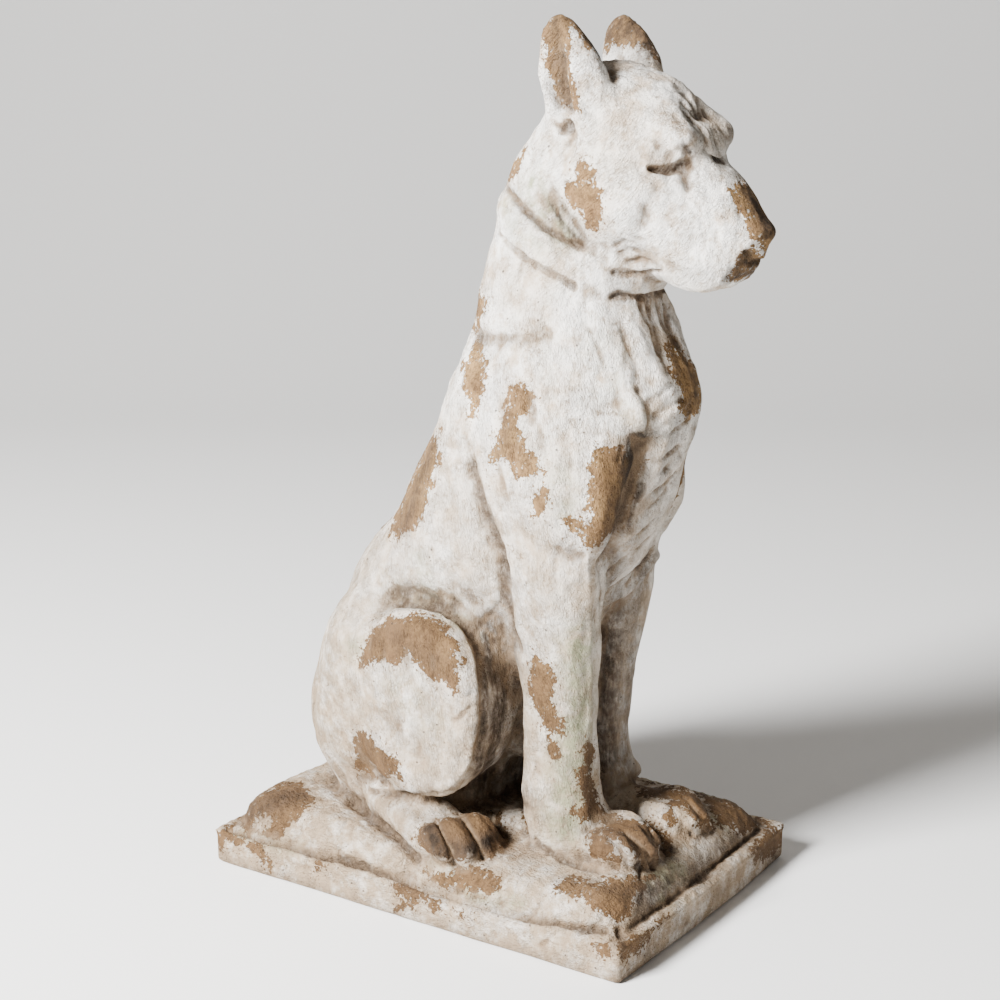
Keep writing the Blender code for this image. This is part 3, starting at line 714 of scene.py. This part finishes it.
def inside_by(where, ring):
    """How far pixels are inside a ring, in pixels, negative outside."""
    corners = np.array(ring, float)
    odd = np.zeros(len(where), bool)
    best = np.full(len(where), np.inf)
    for start, end in zip(corners, np.roll(corners, -1, axis=0)):
        span = end - start
        share = np.clip((where - start) @ span / (span @ span), 0, 1)
        best = np.minimum(best, np.linalg.norm(where - start - share[:, None] * span, axis=1))
        crosses = (start[1] > where[:, 1]) != (end[1] > where[:, 1])
        level = np.where(span[1] == 0, 1e-9, span[1])
        odd ^= crosses & (where[:, 0] < start[0] + span[0] * (where[:, 1] - start[1]) / level)
    return np.where(odd, best, -best)


print("the picture is cut into", CELLS**2, "cells")

# %% The distance from the edge of the paint
FAR_OUT = -30.0
MM_PER_PIXEL = 0.9
ISLANDS_MOVED = np.array((0, 0.012, -0.010))
bare = np.full(len(points), FAR_OUT)
where, shown = seen(points, normals)
other_side = points * (-1, 1, 1) + ISLANDS_MOVED
where_other, shown_other = seen(other_side, normals * (-1, 1, 1))
shown_other &= ~shown & (points[:, 0] > 0)
for ring in BARE:
    low = np.min(ring, axis=0) + FAR_OUT
    high = np.max(ring, axis=0) - FAR_OUT
    for spots, visible in ((where, shown), (where_other, shown_other)):
        close = np.flatnonzero(visible & ((spots > low) & (spots < high)).all(axis=1))
        depth_in = inside_by(spots[close], ring) * MM_PER_PIXEL
        bare[close] = np.maximum(bare[close], depth_in)

# Places that neither side shows, such as the back, get random islands.
ISLAND_SIZE = 0.055
ISLAND_SLOPE_MM = 46
PAINT_LEFT_MM = 14
unseen = ~shown & ~shown_other
worn = ISLAND_SLOPE_MM * lumps(points, ISLAND_SIZE, 11) - PAINT_LEFT_MM
bare[unseen] = np.maximum(bare[unseen], worn[unseen])
bare = relaxed(bare, 1)
print("bare clay on", round(100 * (bare > 0).mean(), 1), "% of the points")

# %% [markdown]
# ## Dirt, stains and painted shade
# Dirt stays wherever a brush can't reach, and the same hollows are darkened further as painted
# shade. How hollow a place is follows from comparing the clay with itself smoothed: where the
# smooth one lies above, the place is a hollow. Broad stains are painted along paths as the
# strokes were, and so is broad painted shade: the brown under the belly is partly stain and
# partly painted shadow.

# %% Dirt, stains and painted shade
# Few rounds of smoothing find the creases, and many find the wide hollows.
ROUNDS_AND_WEIGHTS = ((6, 0.4), (24, 0.45), (90, 0.5))
smoothed = points
hollow = np.zeros(len(points))
for rounds, weight in ROUNDS_AND_WEIGHTS:
    smoothed = relaxed(smoothed, rounds)
    depth_mm = ((smoothed - points) * normals).sum(axis=1) / MM
    hollow += weight * np.clip(depth_mm, -0.3, 2.5)
# The hollow share is partly real dirt and partly painted shade: creases and wide hollows are
# darkened as the shade that falls in them would darken them.
hollow_dirt_and_shade = relaxed(np.clip(hollow * 0.6, 0, 1.2), 4)


# %% Stains and painted shade along paths
def marked_along_paths(stains):
    """How strong the strongest mark is at every point, from 0 to about 1: stains and painted shade.
    """
    stain_and_shade_share = np.zeros(len(points))
    for strength, close, share in faded(stains, reach=2.4, spacing=8, jump=60):
        stain_and_shade_share[close] = np.maximum(stain_and_shade_share[close], strength * share)
    return stain_and_shade_share


# Each row is (path, half width in mm, strength, twin). The rows mix real brown stains with painted
# shade and painted shadow: the slit of the eye and the hollow by the brow, the shaded top of the
# muzzle, under the jaw and the collar, the chest hollow, the belly and flank behind the forelegs,
# the dark gap behind the near foreleg, the far foreleg in the near one's shadow, and the slab's
# shaded front and lower edge.
BROWN_STAINS_AND_SHADE = [
    ([(684, 146), (690, 156), (688, 166)], 6, 0.95, 0),
    ([(656, 170), (668, 172), (680, 169), (686, 176)], 3, 1.1, 0),
    ([(716, 118), (722, 134), (722, 150)], 4, 0.3, 0),
    ([(732, 120), (728, 150)], 8, 0.5, None),
    ([(742, 262), (750, 262), (754, 270), (740, 276), (730, 278)], 7, 0.85, 0),
    ([(750, 196), (764, 218), (774, 240), (768, 254)], 11, 0.85, 0),
    ([(640, 150), (656, 152), (670, 150)], 6, 0.12, 0),
    ([(612, 488), (608, 530), (596, 546)], 8, 0.4, 0),
    ([(622, 456), (626, 486), (618, 510)], 9, 0.85, 0),
    ([(500, 640), (506, 690), (498, 740)], 14, 0.95, 0),
    ([(430, 830), (440, 850), (470, 850), (500, 836), (508, 842)], 12, 1.0, 26),
    ([(618, 242), (634, 246), (650, 250)], 9, 0.35, 0),
    ([(612, 350), (626, 352)], 8, 0.15, 0),
    ([(560, 880), (600, 890), (640, 890)], 12, 0.4, None),
    ([(640, 905), (670, 890), (700, 866), (740, 836)], 13, 0.6, None),
    ([(250, 814), (276, 802), (300, 796)], 16, 0.75, None),
    ([(560, 872), (530, 862), (512, 850)], 10, 0.3, None),
    ([(606, 40), (618, 20), (634, 22), (654, 50)], 14, 0.75, 0),
    ([(566, 818), (560, 840), (575, 860)], 10, 0.35, None),
    ([(552, 202), (564, 223), (582, 243)], 5, 1.1, 0),
    ([(562, 205), (574, 222), (586, 240)], 4, 0.8, 0),
    ([(508, 186), (526, 212), (548, 230), (566, 240), (580, 245)], 4, 0.8, 0),
    ([(556, 14), (556, 40), (558, 60)], 8, 0.75, 0),
    ([(556, 60), (556, 84), (566, 104)], 7, 0.45, 0),
    ([(616, 283), (640, 282), (660, 282)], 9, 0.35, 0),
    ([(636, 246), (646, 262), (690, 276), (716, 282)], 10, 0.3, 0),
    ([(430, 452), (418, 490), (404, 526)], 12, 0.65, None),
    ([(578, 690), (574, 750), (566, 830)], 16, 0.25, None),
    ([(600, 832), (625, 850), (660, 850)], 16, 0.6, None),
    ([(390, 806), (420, 820)], 16, 0.25, 26),
    ([(572, 24), (590, 44)], 4, 0.6, 0),
    ([(628, 20), (634, 34)], 9, 0.4, None),
    ([(640, 262), (655, 262)], 6, 0.6, 0),
    ([(614, 296), (636, 298), (660, 297)], 4, 0.8, 0),
    ([(662, 300), (672, 330), (690, 360), (696, 390), (690, 412)], 9, 0.7, None),
    ([(694, 430), (692, 470), (684, 490)], 7, 0.5, None),
    ([(640, 446), (638, 470), (632, 496), (624, 524)], 18, 1.3, None),
    (LEFT_EDGE, 4, 0.55, None),
    ([(640, 900), (652, 890), (672, 878)], 12, 0.8, None),
    ([(618, 40), (630, 26), (640, 38), (650, 52)], 14, 0.85, None),
    ([(610, 540), (616, 560), (610, 580)], 10, 0.7, None),
    ([(508, 415), (504, 440)], 7, 0.35, None),
    ([(562, 550), (576, 556)], 8, 0.6, None),
    ([(476, 470), (484, 512), (497, 546), (502, 570), (508, 610)], 5, 0.5, 0),
    ([(480, 335), (500, 341), (520, 340)], 6, 0.25, 0),
    ([(488, 632), (500, 690), (495, 740), (485, 775)], 26, 0.9, 0),
    ([(484, 660), (486, 720), (478, 770)], 12, 0.9, 0),
    ([(515, 640), (516, 700), (520, 740)], 14, 0.7, 0),
    ([(516, 780), (524, 800)], 14, 0.9, None),
    ([(480, 730), (500, 740), (512, 770)], 14, 0.7, None),
    ([(612, 600), (608, 680), (606, 760)], 22, 0.8, None),
    ([(640, 570), (634, 620), (628, 700), (624, 760)], 16, 0.6, None),
    ([(684, 420), (670, 450), (652, 490), (630, 540)], 14, 0.35, None),
    ([(648, 560), (646, 600), (636, 680), (630, 740), (632, 770)], 6, 0.5, None),
    ([(588, 742), (588, 780), (594, 796)], 5, 0.5, None),
    ([(440, 826), (444, 838), (452, 856)], 3.5, 0.8, 26),
    ([(462, 816), (472, 832), (482, 852)], 3.5, 0.8, 26),
    ([(508, 836), (512, 850), (490, 860)], 7, 0.55, 26),
    ([(350, 803), (380, 822)], 6, 0.6, 0),
    ([(320, 780), (340, 796)], 9, 0.5, None),
    ([(436, 790), (400, 792), (450, 788)], 5, 0.5, 0),
    ([(404, 880), (420, 888), (440, 896)], 5, 0.85, None),
    ([(440, 896), (480, 906), (520, 916)], 4, 0.5, None),
    ([(640, 920), (680, 894), (710, 870), (745, 842), (760, 828)], 4, 0.6, None),
    ([(655, 893), (648, 905)], 11, 0.7, None),
    ([(622, 930), (620, 945)], 6, 0.6, None),
    ([(672, 848), (660, 862), (645, 872)], 5, 0.8, None),
    ([(712, 832), (695, 838)], 5, 0.6, None),
    ([(620, 981), (690, 934), (740, 892), (782, 850)], 14, 0.7, None),
    ([(640, 950), (700, 905), (765, 850)], 12, 0.5, None),
    ([(400, 650), (440, 660)], 9, 0.25, None),
    ([(585, 790), (600, 810), (620, 822)], 6, 0.4, None),
    ([(226, 862), (300, 884), (420, 922), (600, 976)], 9, 0.45, None),
    ([(640, 965), (700, 925), (760, 872)], 18, 0.7, None),
    ([(770, 830), (778, 846)], 9, 0.45, None),
    ([(390, 630), (398, 640)], 11, 0.3, None),
]
GREEN = [
    ([(530, 182), (545, 205), (566, 232)], 13, 1.1, 0),
    ([(506, 205), (516, 225), (536, 240)], 12, 0.6, 0),
    ([(400, 596), (430, 600), (456, 618), (470, 634)], 12, 0.9, 0),
    ([(580, 640), (578, 720), (568, 780), (564, 830)], 18, 1.1, None),
    ([(560, 480), (566, 510)], 14, 0.6, None),
    ([(350, 650), (362, 644)], 10, 0.6, 0),
    ([(420, 560), (428, 586)], 12, 0.5, None),
    ([(430, 866), (444, 872), (480, 896), (520, 904)], 7, 0.8, None),
    ([(650, 880), (680, 870), (664, 900)], 12, 0.8, None),
    ([(700, 810), (724, 826)], 10, 0.5, None),
    ([(240, 832), (300, 850)], 7, 0.6, None),
    ([(400, 690), (430, 720)], 20, 0.3, 0),
    ([(600, 350), (620, 400), (640, 440)], 18, 0.3, 0),
]
brown_stain_and_shade = marked_along_paths(BROWN_STAINS_AND_SHADE)
green = marked_along_paths(GREEN)
print("dirt on", round(100 * (hollow_dirt_and_shade > 0.3).mean(), 1), "% of the points")

# %% [markdown]
# ## Thinning the skin
# The fine skin has more triangles than one piece needs. Its dirt, stains, painted shade and bare
# places are kept as attributes, which Decimate carries along as it merges points, most where the
# clay is smooth.

# %% Thinning the skin
MOST_TRIANGLES = 196000
_, back, height = points.T
# The head is what lies above 0.54 m and in front of the neck. Age is most at the ground, and
# some more towards the back.
head_share = np.clip((height - 0.54) / 0.05, 0, 1) * np.clip((-0.02 - back) / 0.05, 0, 1)
age = 0.95 * np.clip(1 - height / 0.45, 0, 1) ** 0.6 + 0.25 * np.clip(back / 0.2, 0, 1)
layers = {"bare": bare, "hollow_dirt_and_shade": hollow_dirt_and_shade, "brown_stain_and_shade": brown_stain_and_shade, "green": green}
layers |= {"head": head_share, "ground": 1 - on_dog, "age": age}
for name, values in layers.items():
    stored = mesh.attributes.new(name, "FLOAT", "POINT")
    stored.data.foreach_set("value", values.astype(np.float32))
mesh.vertices.foreach_set("co", points.ravel())
mesh.update()
applied(cast, "fewer faces", "DECIMATE", ratio=MOST_TRIANGLES / (2 * len(mesh.polygons)))
cast.data.shade_smooth()
print("the dog has", len(cast.data.polygons), "faces")

# %% [markdown]
# ## Limewash over fired clay
# The paint is a matt limewash: chalky, with no gloss at all, a warm white that drifts to cream
# and rose where the clay shows through, and dulled by a green film where rain runs. Bare clay is
# tan and as matt. One function turns sRGB hex colours to linear, and one adds a node. Object
# coordinates carry every pattern, so that it stays on the clay from whatever side it is seen.

# %% Limewash over fired clay
MATHS = "ShaderNodeMath"
RANGE = "ShaderNodeMapRange"
MIX = "ShaderNodeMix"
SMOOTH = {"interpolation_type": "SMOOTHSTEP"}
TIMES = {"operation": "MULTIPLY"}


def linear(code):
    parts = [int(code[i : i + 2], 16) / 255 for i in (1, 3, 5)]
    return tuple(p / 12.92 if p <= 0.04045 else ((p + 0.055) / 1.055) ** 2.4 for p in parts) + (1,)


def add(kind, inputs, out=0, **settings):
    """Adds a node, with its inputs (values or sockets) and settings, and hands on one output."""
    node = tree.nodes.new(kind)
    for key, value in settings.items():
        setattr(node, key, value)
    for name, value in inputs.items():
        if isinstance(value, bpy.types.NodeSocket):
            tree.links.new(value, node.inputs[name])
        else:
            node.inputs[name].default_value = value
    return node.outputs[out]


limewash = bpy.data.materials.new("flaking limewash over tan fired clay")
limewash.use_nodes = True
tree = limewash.node_tree
shader = tree.nodes["Principled BSDF"]
place = add("ShaderNodeTexCoord", {}, out="Object")
kept = {name: add("ShaderNodeAttribute", {}, out="Fac", attribute_name=name) for name in layers}
print("attributes read:", ", ".join(kept))

# %% [markdown]
# ## The patterns
# All that is uneven in the paint comes from noise. Each row of the first table is one noise: the
# size of its lumps in millimetres, its detail and its roughness, and for those that lie along
# the coat also a stretch, a turn about X and a swirl. The second table turns a noise into a
# share: the share rises between two values of the noise, from the third number to the fourth.

# %% The patterns
NOISES = {
    "broad wander": (15, 5, 0.68),
    "fine wander": (4, 3, 0.6),
    "crumbs": (3.4, 3, 0.55),
    "freckles": (2.6, 2, 0.5),
    "rubbed places": (24, 5, 0.65),
    "rubbed grain": (3.2, 4, 0.65),
    "cream drift": (60, 3, 0.55),
    "rose clouds": (30, 5, 0.7),
    "paint mottle": (8, 5, 0.72),
    "old paint": (20, 5, 0.65),
    "green film": (14, 4, 0.6),
    "clay drift": (30, 4, 0.55),
    "clay mottle": (6, 5, 0.65),
    "coat down": (2.1, 4, 0.62, (1, 1, 3), 0.25, 1.1),
    "coat back": (2.0, 4, 0.62, (1, 1, 3), -0.85, 1.0),
    "ground marks": (2.6, 3, 0.6, (1, 1.8, 1), 0, 0.8),
    "combed patches": (22, 4, 0.6),
    "streaks": (4.5, 4, 0.65, (1, 1, 3), 0, 0),
    "blotches": (10, 4, 0.55),
    "dust film": (7, 4, 0.6),
    "dirt": (4, 4, 0.6),
    "grit": (1.5, 4, 0.7),
}
SHARES = {
    "crumbs": (0.585, 0.6, 0, 1),
    "freckles": (0.64, 0.66, 0, 1),
    "rubbed places": (0.6, 0.66, 0, 1),
    "rubbed grain": (0.52, 0.56, 0, 1),
    "cream drift": (0.36, 0.64, 0, 1),
    "rose clouds": (0.48, 0.64, 0, 0.75),
    "paint mottle": (0.5, 0.68, 0, 0.6),
    "old paint": (0.28, 0.66, 0.35, 1.2),
    "green film": (0.3, 0.62, 0, 1),
    "clay drift": (0.35, 0.65, 0, 1),
    "clay mottle": (0.46, 0.68, 0, 0.7),
    "combed patches": (0.36, 0.62, 0.25, 1),
    "streaks": (0.3, 0.6, 0.5, 1.1),
    "dust film": (0.25, 0.7, 0.5, 1.1),
    "dirt": (0.3, 0.6, 0.5, 1),
}
grain = {}
for name, (size_mm, detail, rough, *lie) in NOISES.items():
    stretch, turn, swirl = lie or ((1, 1, 1), 0, 0)
    scale = [1 / (size_mm * MM * s) for s in stretch]
    turned = add("ShaderNodeMapping", {"Vector": place, "Rotation": (turn, 0, 0)})
    sized = add("ShaderNodeMapping", {"Vector": turned, "Scale": scale})
    settings = {"Scale": 1.0, "Detail": detail, "Roughness": rough, "Distortion": swirl}
    grain[name] = add("ShaderNodeTexNoise", {"Vector": sized} | settings)
share = {}
for name, (low, high, least, most) in SHARES.items():
    share[name] = add(RANGE, {0: grain[name], 1: low, 2: high, 3: least, 4: most}, **SMOOTH)
print(len(grain), "noises and", len(share), "shares")

# %% [markdown]
# ## The edge of the paint
# Flaked paint has a ragged edge. The distance from the drawn rings wanders by a few millimetres,
# crumbs of paint are left inside the edge, freckles of clay show just outside it, and here and
# there the paint is rubbed thin.

# %% The edge of the paint
bare_mm = kept["bare"]
for name, reach_mm in (("broad wander", 30.0), ("fine wander", 9.0)):
    centred = add(MATHS, {0: grain[name], 1: 0.5}, operation="SUBTRACT")
    wander = add(MATHS, {0: centred, 1: reach_mm}, **TIMES)
    bare_mm = add(MATHS, {0: bare_mm, 1: wander}, operation="ADD")
bare_share = add(RANGE, {0: bare_mm, 1: -0.2, 2: 0.2}, **SMOOTH)

by_the_edge = add(RANGE, {0: bare_mm, 1: 7.0, 2: 1.0}, **SMOOTH)
crumbs = add(MATHS, {0: share["crumbs"], 1: by_the_edge}, **TIMES)
bare_share = add(MATHS, {0: bare_share, 1: crumbs}, operation="SUBTRACT", use_clamp=True)

just_outside = add(RANGE, {0: kept["bare"], 1: -12.0, 2: -3.0}, **SMOOTH)
freckles = add(MATHS, {0: share["freckles"], 1: just_outside}, **TIMES)
rubbed = add(MATHS, {0: share["rubbed places"], 1: share["rubbed grain"]}, **TIMES)
rubbed = add(MATHS, {0: rubbed, 1: 0.6}, **TIMES)
for spots in (freckles, rubbed):
    bare_share = add(MATHS, {0: bare_share, 1: spots}, operation="MAXIMUM")
print("nodes with the edge of the paint:", len(tree.nodes))

# %% [markdown]
# ## The coat
# The modeller combed the clay: down the trunk and the legs, back along the head, and crosswise on
# the ground. The combed lines show as colour, where dust lies in them, and later as relief.

# %% The coat
coat = grain["coat down"]
for layer, marks in (("head", "coat back"), ("ground", "ground marks")):
    coat = add(MIX, {0: kept[layer], 2: coat, 3: grain[marks]}, data_type="FLOAT")
combed = add(RANGE, {0: coat, 1: 0.5, 2: 0.32, 4: 0.75}, **SMOOTH)
combed = add(MATHS, {0: combed, 1: share["combed patches"]}, **TIMES)
combed_clay = add(RANGE, {0: coat, 1: 0.5, 2: 0.33, 4: 0.7}, **SMOOTH)
print("nodes with the coat:", len(tree.nodes))

# %% [markdown]
# ## The colours of paint and clay
# Both start from one colour, and each row of a table lays another over it, as thin washes do.
# Paint low on the dog is older and browner, and so is the clay that shows through it.

# %% The colours of paint and clay
old = add(MATHS, {0: kept["age"], 1: share["old paint"]}, use_clamp=True, **TIMES)
green_film = add(MATHS, {0: kept["green"], 1: share["green film"]}, **TIMES)
green_film = add(MATHS, {0: green_film, 1: 0.85}, **TIMES)
old_clay = add(RANGE, {0: kept["age"], 1: 0.1, 2: 0.75, 4: 0.85}, **SMOOTH)
WASHES = [
    (share["cream drift"], "#E2D8CA"),
    (share["rose clouds"], "#BBA58D"),
    (share["paint mottle"], "#A99279"),
    (old, "#9F8B73"),
    (green_film, "#949676"),
    (combed, "#8F7A63"),
]
CLAYS = [
    (share["clay drift"], "#7F6242"),
    (old_clay, "#60482F"),
    (share["clay mottle"], "#513B25"),
    (combed_clay, "#43301D"),
]
white = linear("#EFEBE4")
for cover, code in WASHES:
    white = add(MIX, {0: cover, 6: white, 7: linear(code)}, out=2, data_type="RGBA")
tan = linear("#98784F")
for cover, code in CLAYS:
    tan = add(MIX, {0: cover, 6: tan, 7: linear(code)}, out=2, data_type="RGBA")
colour = add(MIX, {0: bare_share, 6: white, 7: tan}, out=2, data_type="RGBA")
print(len(WASHES), "washes over the paint and", len(CLAYS), "over the clay")

# %% [markdown]
# ## Stains, painted shade, dust and specks
# Brown stains and painted shade run down in streaks, and turn almost black where they are
# strongest, as painted shadow under the chest and behind the legs. A film of dust lies in every
# hollow, with dirt in the deepest, and both also stand for the shade in the hollows, darker the
# deeper it is. Small dark specks sit in pin holes, each in one cell of a Voronoi pattern, and only
# one cell in eight has one.

# %% Stains, painted shade, dust and specks
# Brown stains and painted shade, broken into streaks.
stain_and_shade_share = add(MATHS, {0: kept["brown_stain_and_shade"], 1: share["streaks"]}, use_clamp=True, **TIMES)
stain_and_shade_share = add(MATHS, {0: stain_and_shade_share, 1: 0.95}, **TIMES)
# Near black where the brown is strongest: painted shadow in the deepest places, with some stain.
blotches = add(MATHS, {0: grain["blotches"], 1: 0.3}, operation="ADD")
deep_shade_and_stain = add(MATHS, {0: kept["brown_stain_and_shade"], 1: blotches}, **TIMES)
deep_shade_and_stain = add(RANGE, {0: deep_shade_and_stain, 1: 0.45, 2: 0.95, 4: 0.85}, **SMOOTH)
# Dust and dirt in the hollows, darker with depth as painted shade.
dirt_and_shade_in_hollows = {}
for name, shallow, deep in (("dust film", 0.05, 0.55), ("dirt", 0.55, 1.15)):
    full = add(RANGE, {0: kept["hollow_dirt_and_shade"], 1: shallow, 2: deep}, **SMOOTH)
    full = add(MATHS, {0: full, 1: share[name]}, **TIMES)
    dirt_and_shade_in_hollows[name] = add(MATHS, {0: full, 1: 0.8}, use_clamp=True, **TIMES)

SPECK_CELL_MM = 5.5
gap = add("ShaderNodeTexVoronoi", {"Vector": place, "Scale": 1 / (SPECK_CELL_MM * MM)})
pick = add("ShaderNodeSeparateColor", {"Color": gap.node.outputs["Color"]})
speck_size = add(RANGE, {0: pick, 1: 0.88, 2: 1.0, 4: 0.2}, **SMOOTH)
speck = add(MATHS, {0: gap, 1: speck_size}, operation="LESS_THAN")
dark_speck = add(MATHS, {0: speck, 1: 0.75}, **TIMES)

# The darks laid over both: stains, painted shade and shadow, dust, dirt and specks.
DIRT_AND_SHADE = [
    (stain_and_shade_share, "#46372A"),
    (deep_shade_and_stain, "#201810"),
    (dirt_and_shade_in_hollows["dust film"], "#7A654E"),
    (dirt_and_shade_in_hollows["dirt"], "#3F3125"),
    (dark_speck, "#33281F"),
]
for cover, code in DIRT_AND_SHADE:
    colour = add(MIX, {0: cover, 6: colour, 7: linear(code)}, out=2, data_type="RGBA")
print(len(DIRT_AND_SHADE), "kinds of dirt over both")

# %% [markdown]
# ## Relief
# Heights are in millimetres: the paint stands proud of the bare clay, the combed lines are deep,
# and grit and pin holes are fine. They are drawn a little coarser than real, so as to show.

# %% Relief
paint = add(MATHS, {0: 1.0, 1: bare_share}, operation="SUBTRACT")
lines = add(MATHS, {0: coat, 1: share["combed patches"]}, **TIMES)
relief = add(MATHS, {0: paint, 1: 0.8}, **TIMES)
for height, rise_mm in ((lines, 5.0), (grain["grit"], 1.0), (speck, -0.8)):
    layer = add(MATHS, {0: height, 1: rise_mm}, **TIMES)
    relief = add(MATHS, {0: relief, 1: layer}, operation="ADD")
bump = add("ShaderNodeBump", {"Height": relief, "Distance": MM, "Strength": 1.0})
tree.links.new(bump, shader.inputs["Normal"])
tree.links.new(colour, shader.inputs["Base Color"])
shader.inputs["Roughness"].default_value = 0.88
shader.inputs["Specular IOR Level"].default_value = 0.25
cast.data.materials.clear()
cast.data.materials.append(limewash)
print("material:", limewash.name, "with", len(tree.nodes), "nodes")

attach(cast, "root")
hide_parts("dog_statue")

# %% [markdown]
# ## The studio
# A sheet of white paper is the floor and curves up behind the dog. One broad light stands to the
# left and a little behind, so that the side is bright and the front falls into shade.

# %% The studio
PAPER_SIZE = 9
PAPER_RISE = 5
PAPER_CURVE = 2.4
PAPER_PLACE = (0, 0, -0.0005)
bpy.ops.object.select_all(action="DESELECT")
turn = math.atan2(-HEADING.x, HEADING.y)
bpy.ops.mesh.primitive_plane_add(size=PAPER_SIZE, location=PAPER_PLACE, rotation=(0, 0, turn))
floor = bpy.context.object
floor.name = "studio_floor"
bpy.ops.object.transform_apply(location=True, rotation=True, scale=False)


def select_back_edge(below):
    """Selects the edges at the far side of the paper that lie below a height."""
    bpy.ops.object.mode_set(mode="EDIT")
    bpy.ops.mesh.select_all(action="DESELECT")
    bpy.ops.object.mode_set(mode="OBJECT")
    for edge in floor.data.edges:
        ends = [floor.data.vertices[i].co for i in edge.vertices]
        edge.select = all(end.dot(HEADING) > PAPER_SIZE / 2 - 0.5 and end.z < below for end in ends)
    bpy.ops.object.mode_set(mode="EDIT")


select_back_edge(below=1)
bpy.ops.mesh.extrude_region_move(TRANSFORM_OT_translate={"value": (0, 0, PAPER_RISE)})
select_back_edge(below=1)
bpy.ops.mesh.bevel(offset=PAPER_CURVE, segments=24, affect="EDGES")
bpy.ops.object.mode_set(mode="OBJECT")
floor.data.shade_smooth()
print("paper, m", [round(side, 1) for side in floor.dimensions])

# Paper scatters all the light it gets, so it is very rough and a shade under white.
paper = bpy.data.materials.new("matt white paper")
paper.use_nodes = True
paper_shader = paper.node_tree.nodes["Principled BSDF"]
paper_shader.inputs["Base Color"].default_value = linear("#F6F5F3")
paper_shader.inputs["Roughness"].default_value = 0.95
floor.data.materials.append(paper)
floor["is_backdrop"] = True

# %% The light
world = bpy.data.worlds.new("white room")
world.use_nodes = True
world.node_tree.nodes["Background"].inputs["Color"].default_value = (1, 0.955, 0.9, 1)
world.node_tree.nodes["Background"].inputs["Strength"].default_value = 0.2
bpy.context.scene.world = world

window_data = bpy.data.lights.new("window", "AREA")
window_data.size = 0.9
window_data.energy = 500
window = bpy.data.objects.new("window", window_data)
bpy.context.scene.collection.objects.link(window)
window.location = (-2.5, 0.7, 1.95)
to_the_dog = Vector((0, 0, 0.4)) - window.location
window.rotation_euler = to_the_dog.to_track_quat("-Z", "Y").to_euler()
print("window light, m from the dog:", round(to_the_dog.length, 2))

# %% [markdown]
# ## The sizes
# The size of the look's box is printed, in millimetres.

# %% The sizes
low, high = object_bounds()
print("visual box, mm", [round(1000 * (h - l)) for l, h in zip(low, high)])
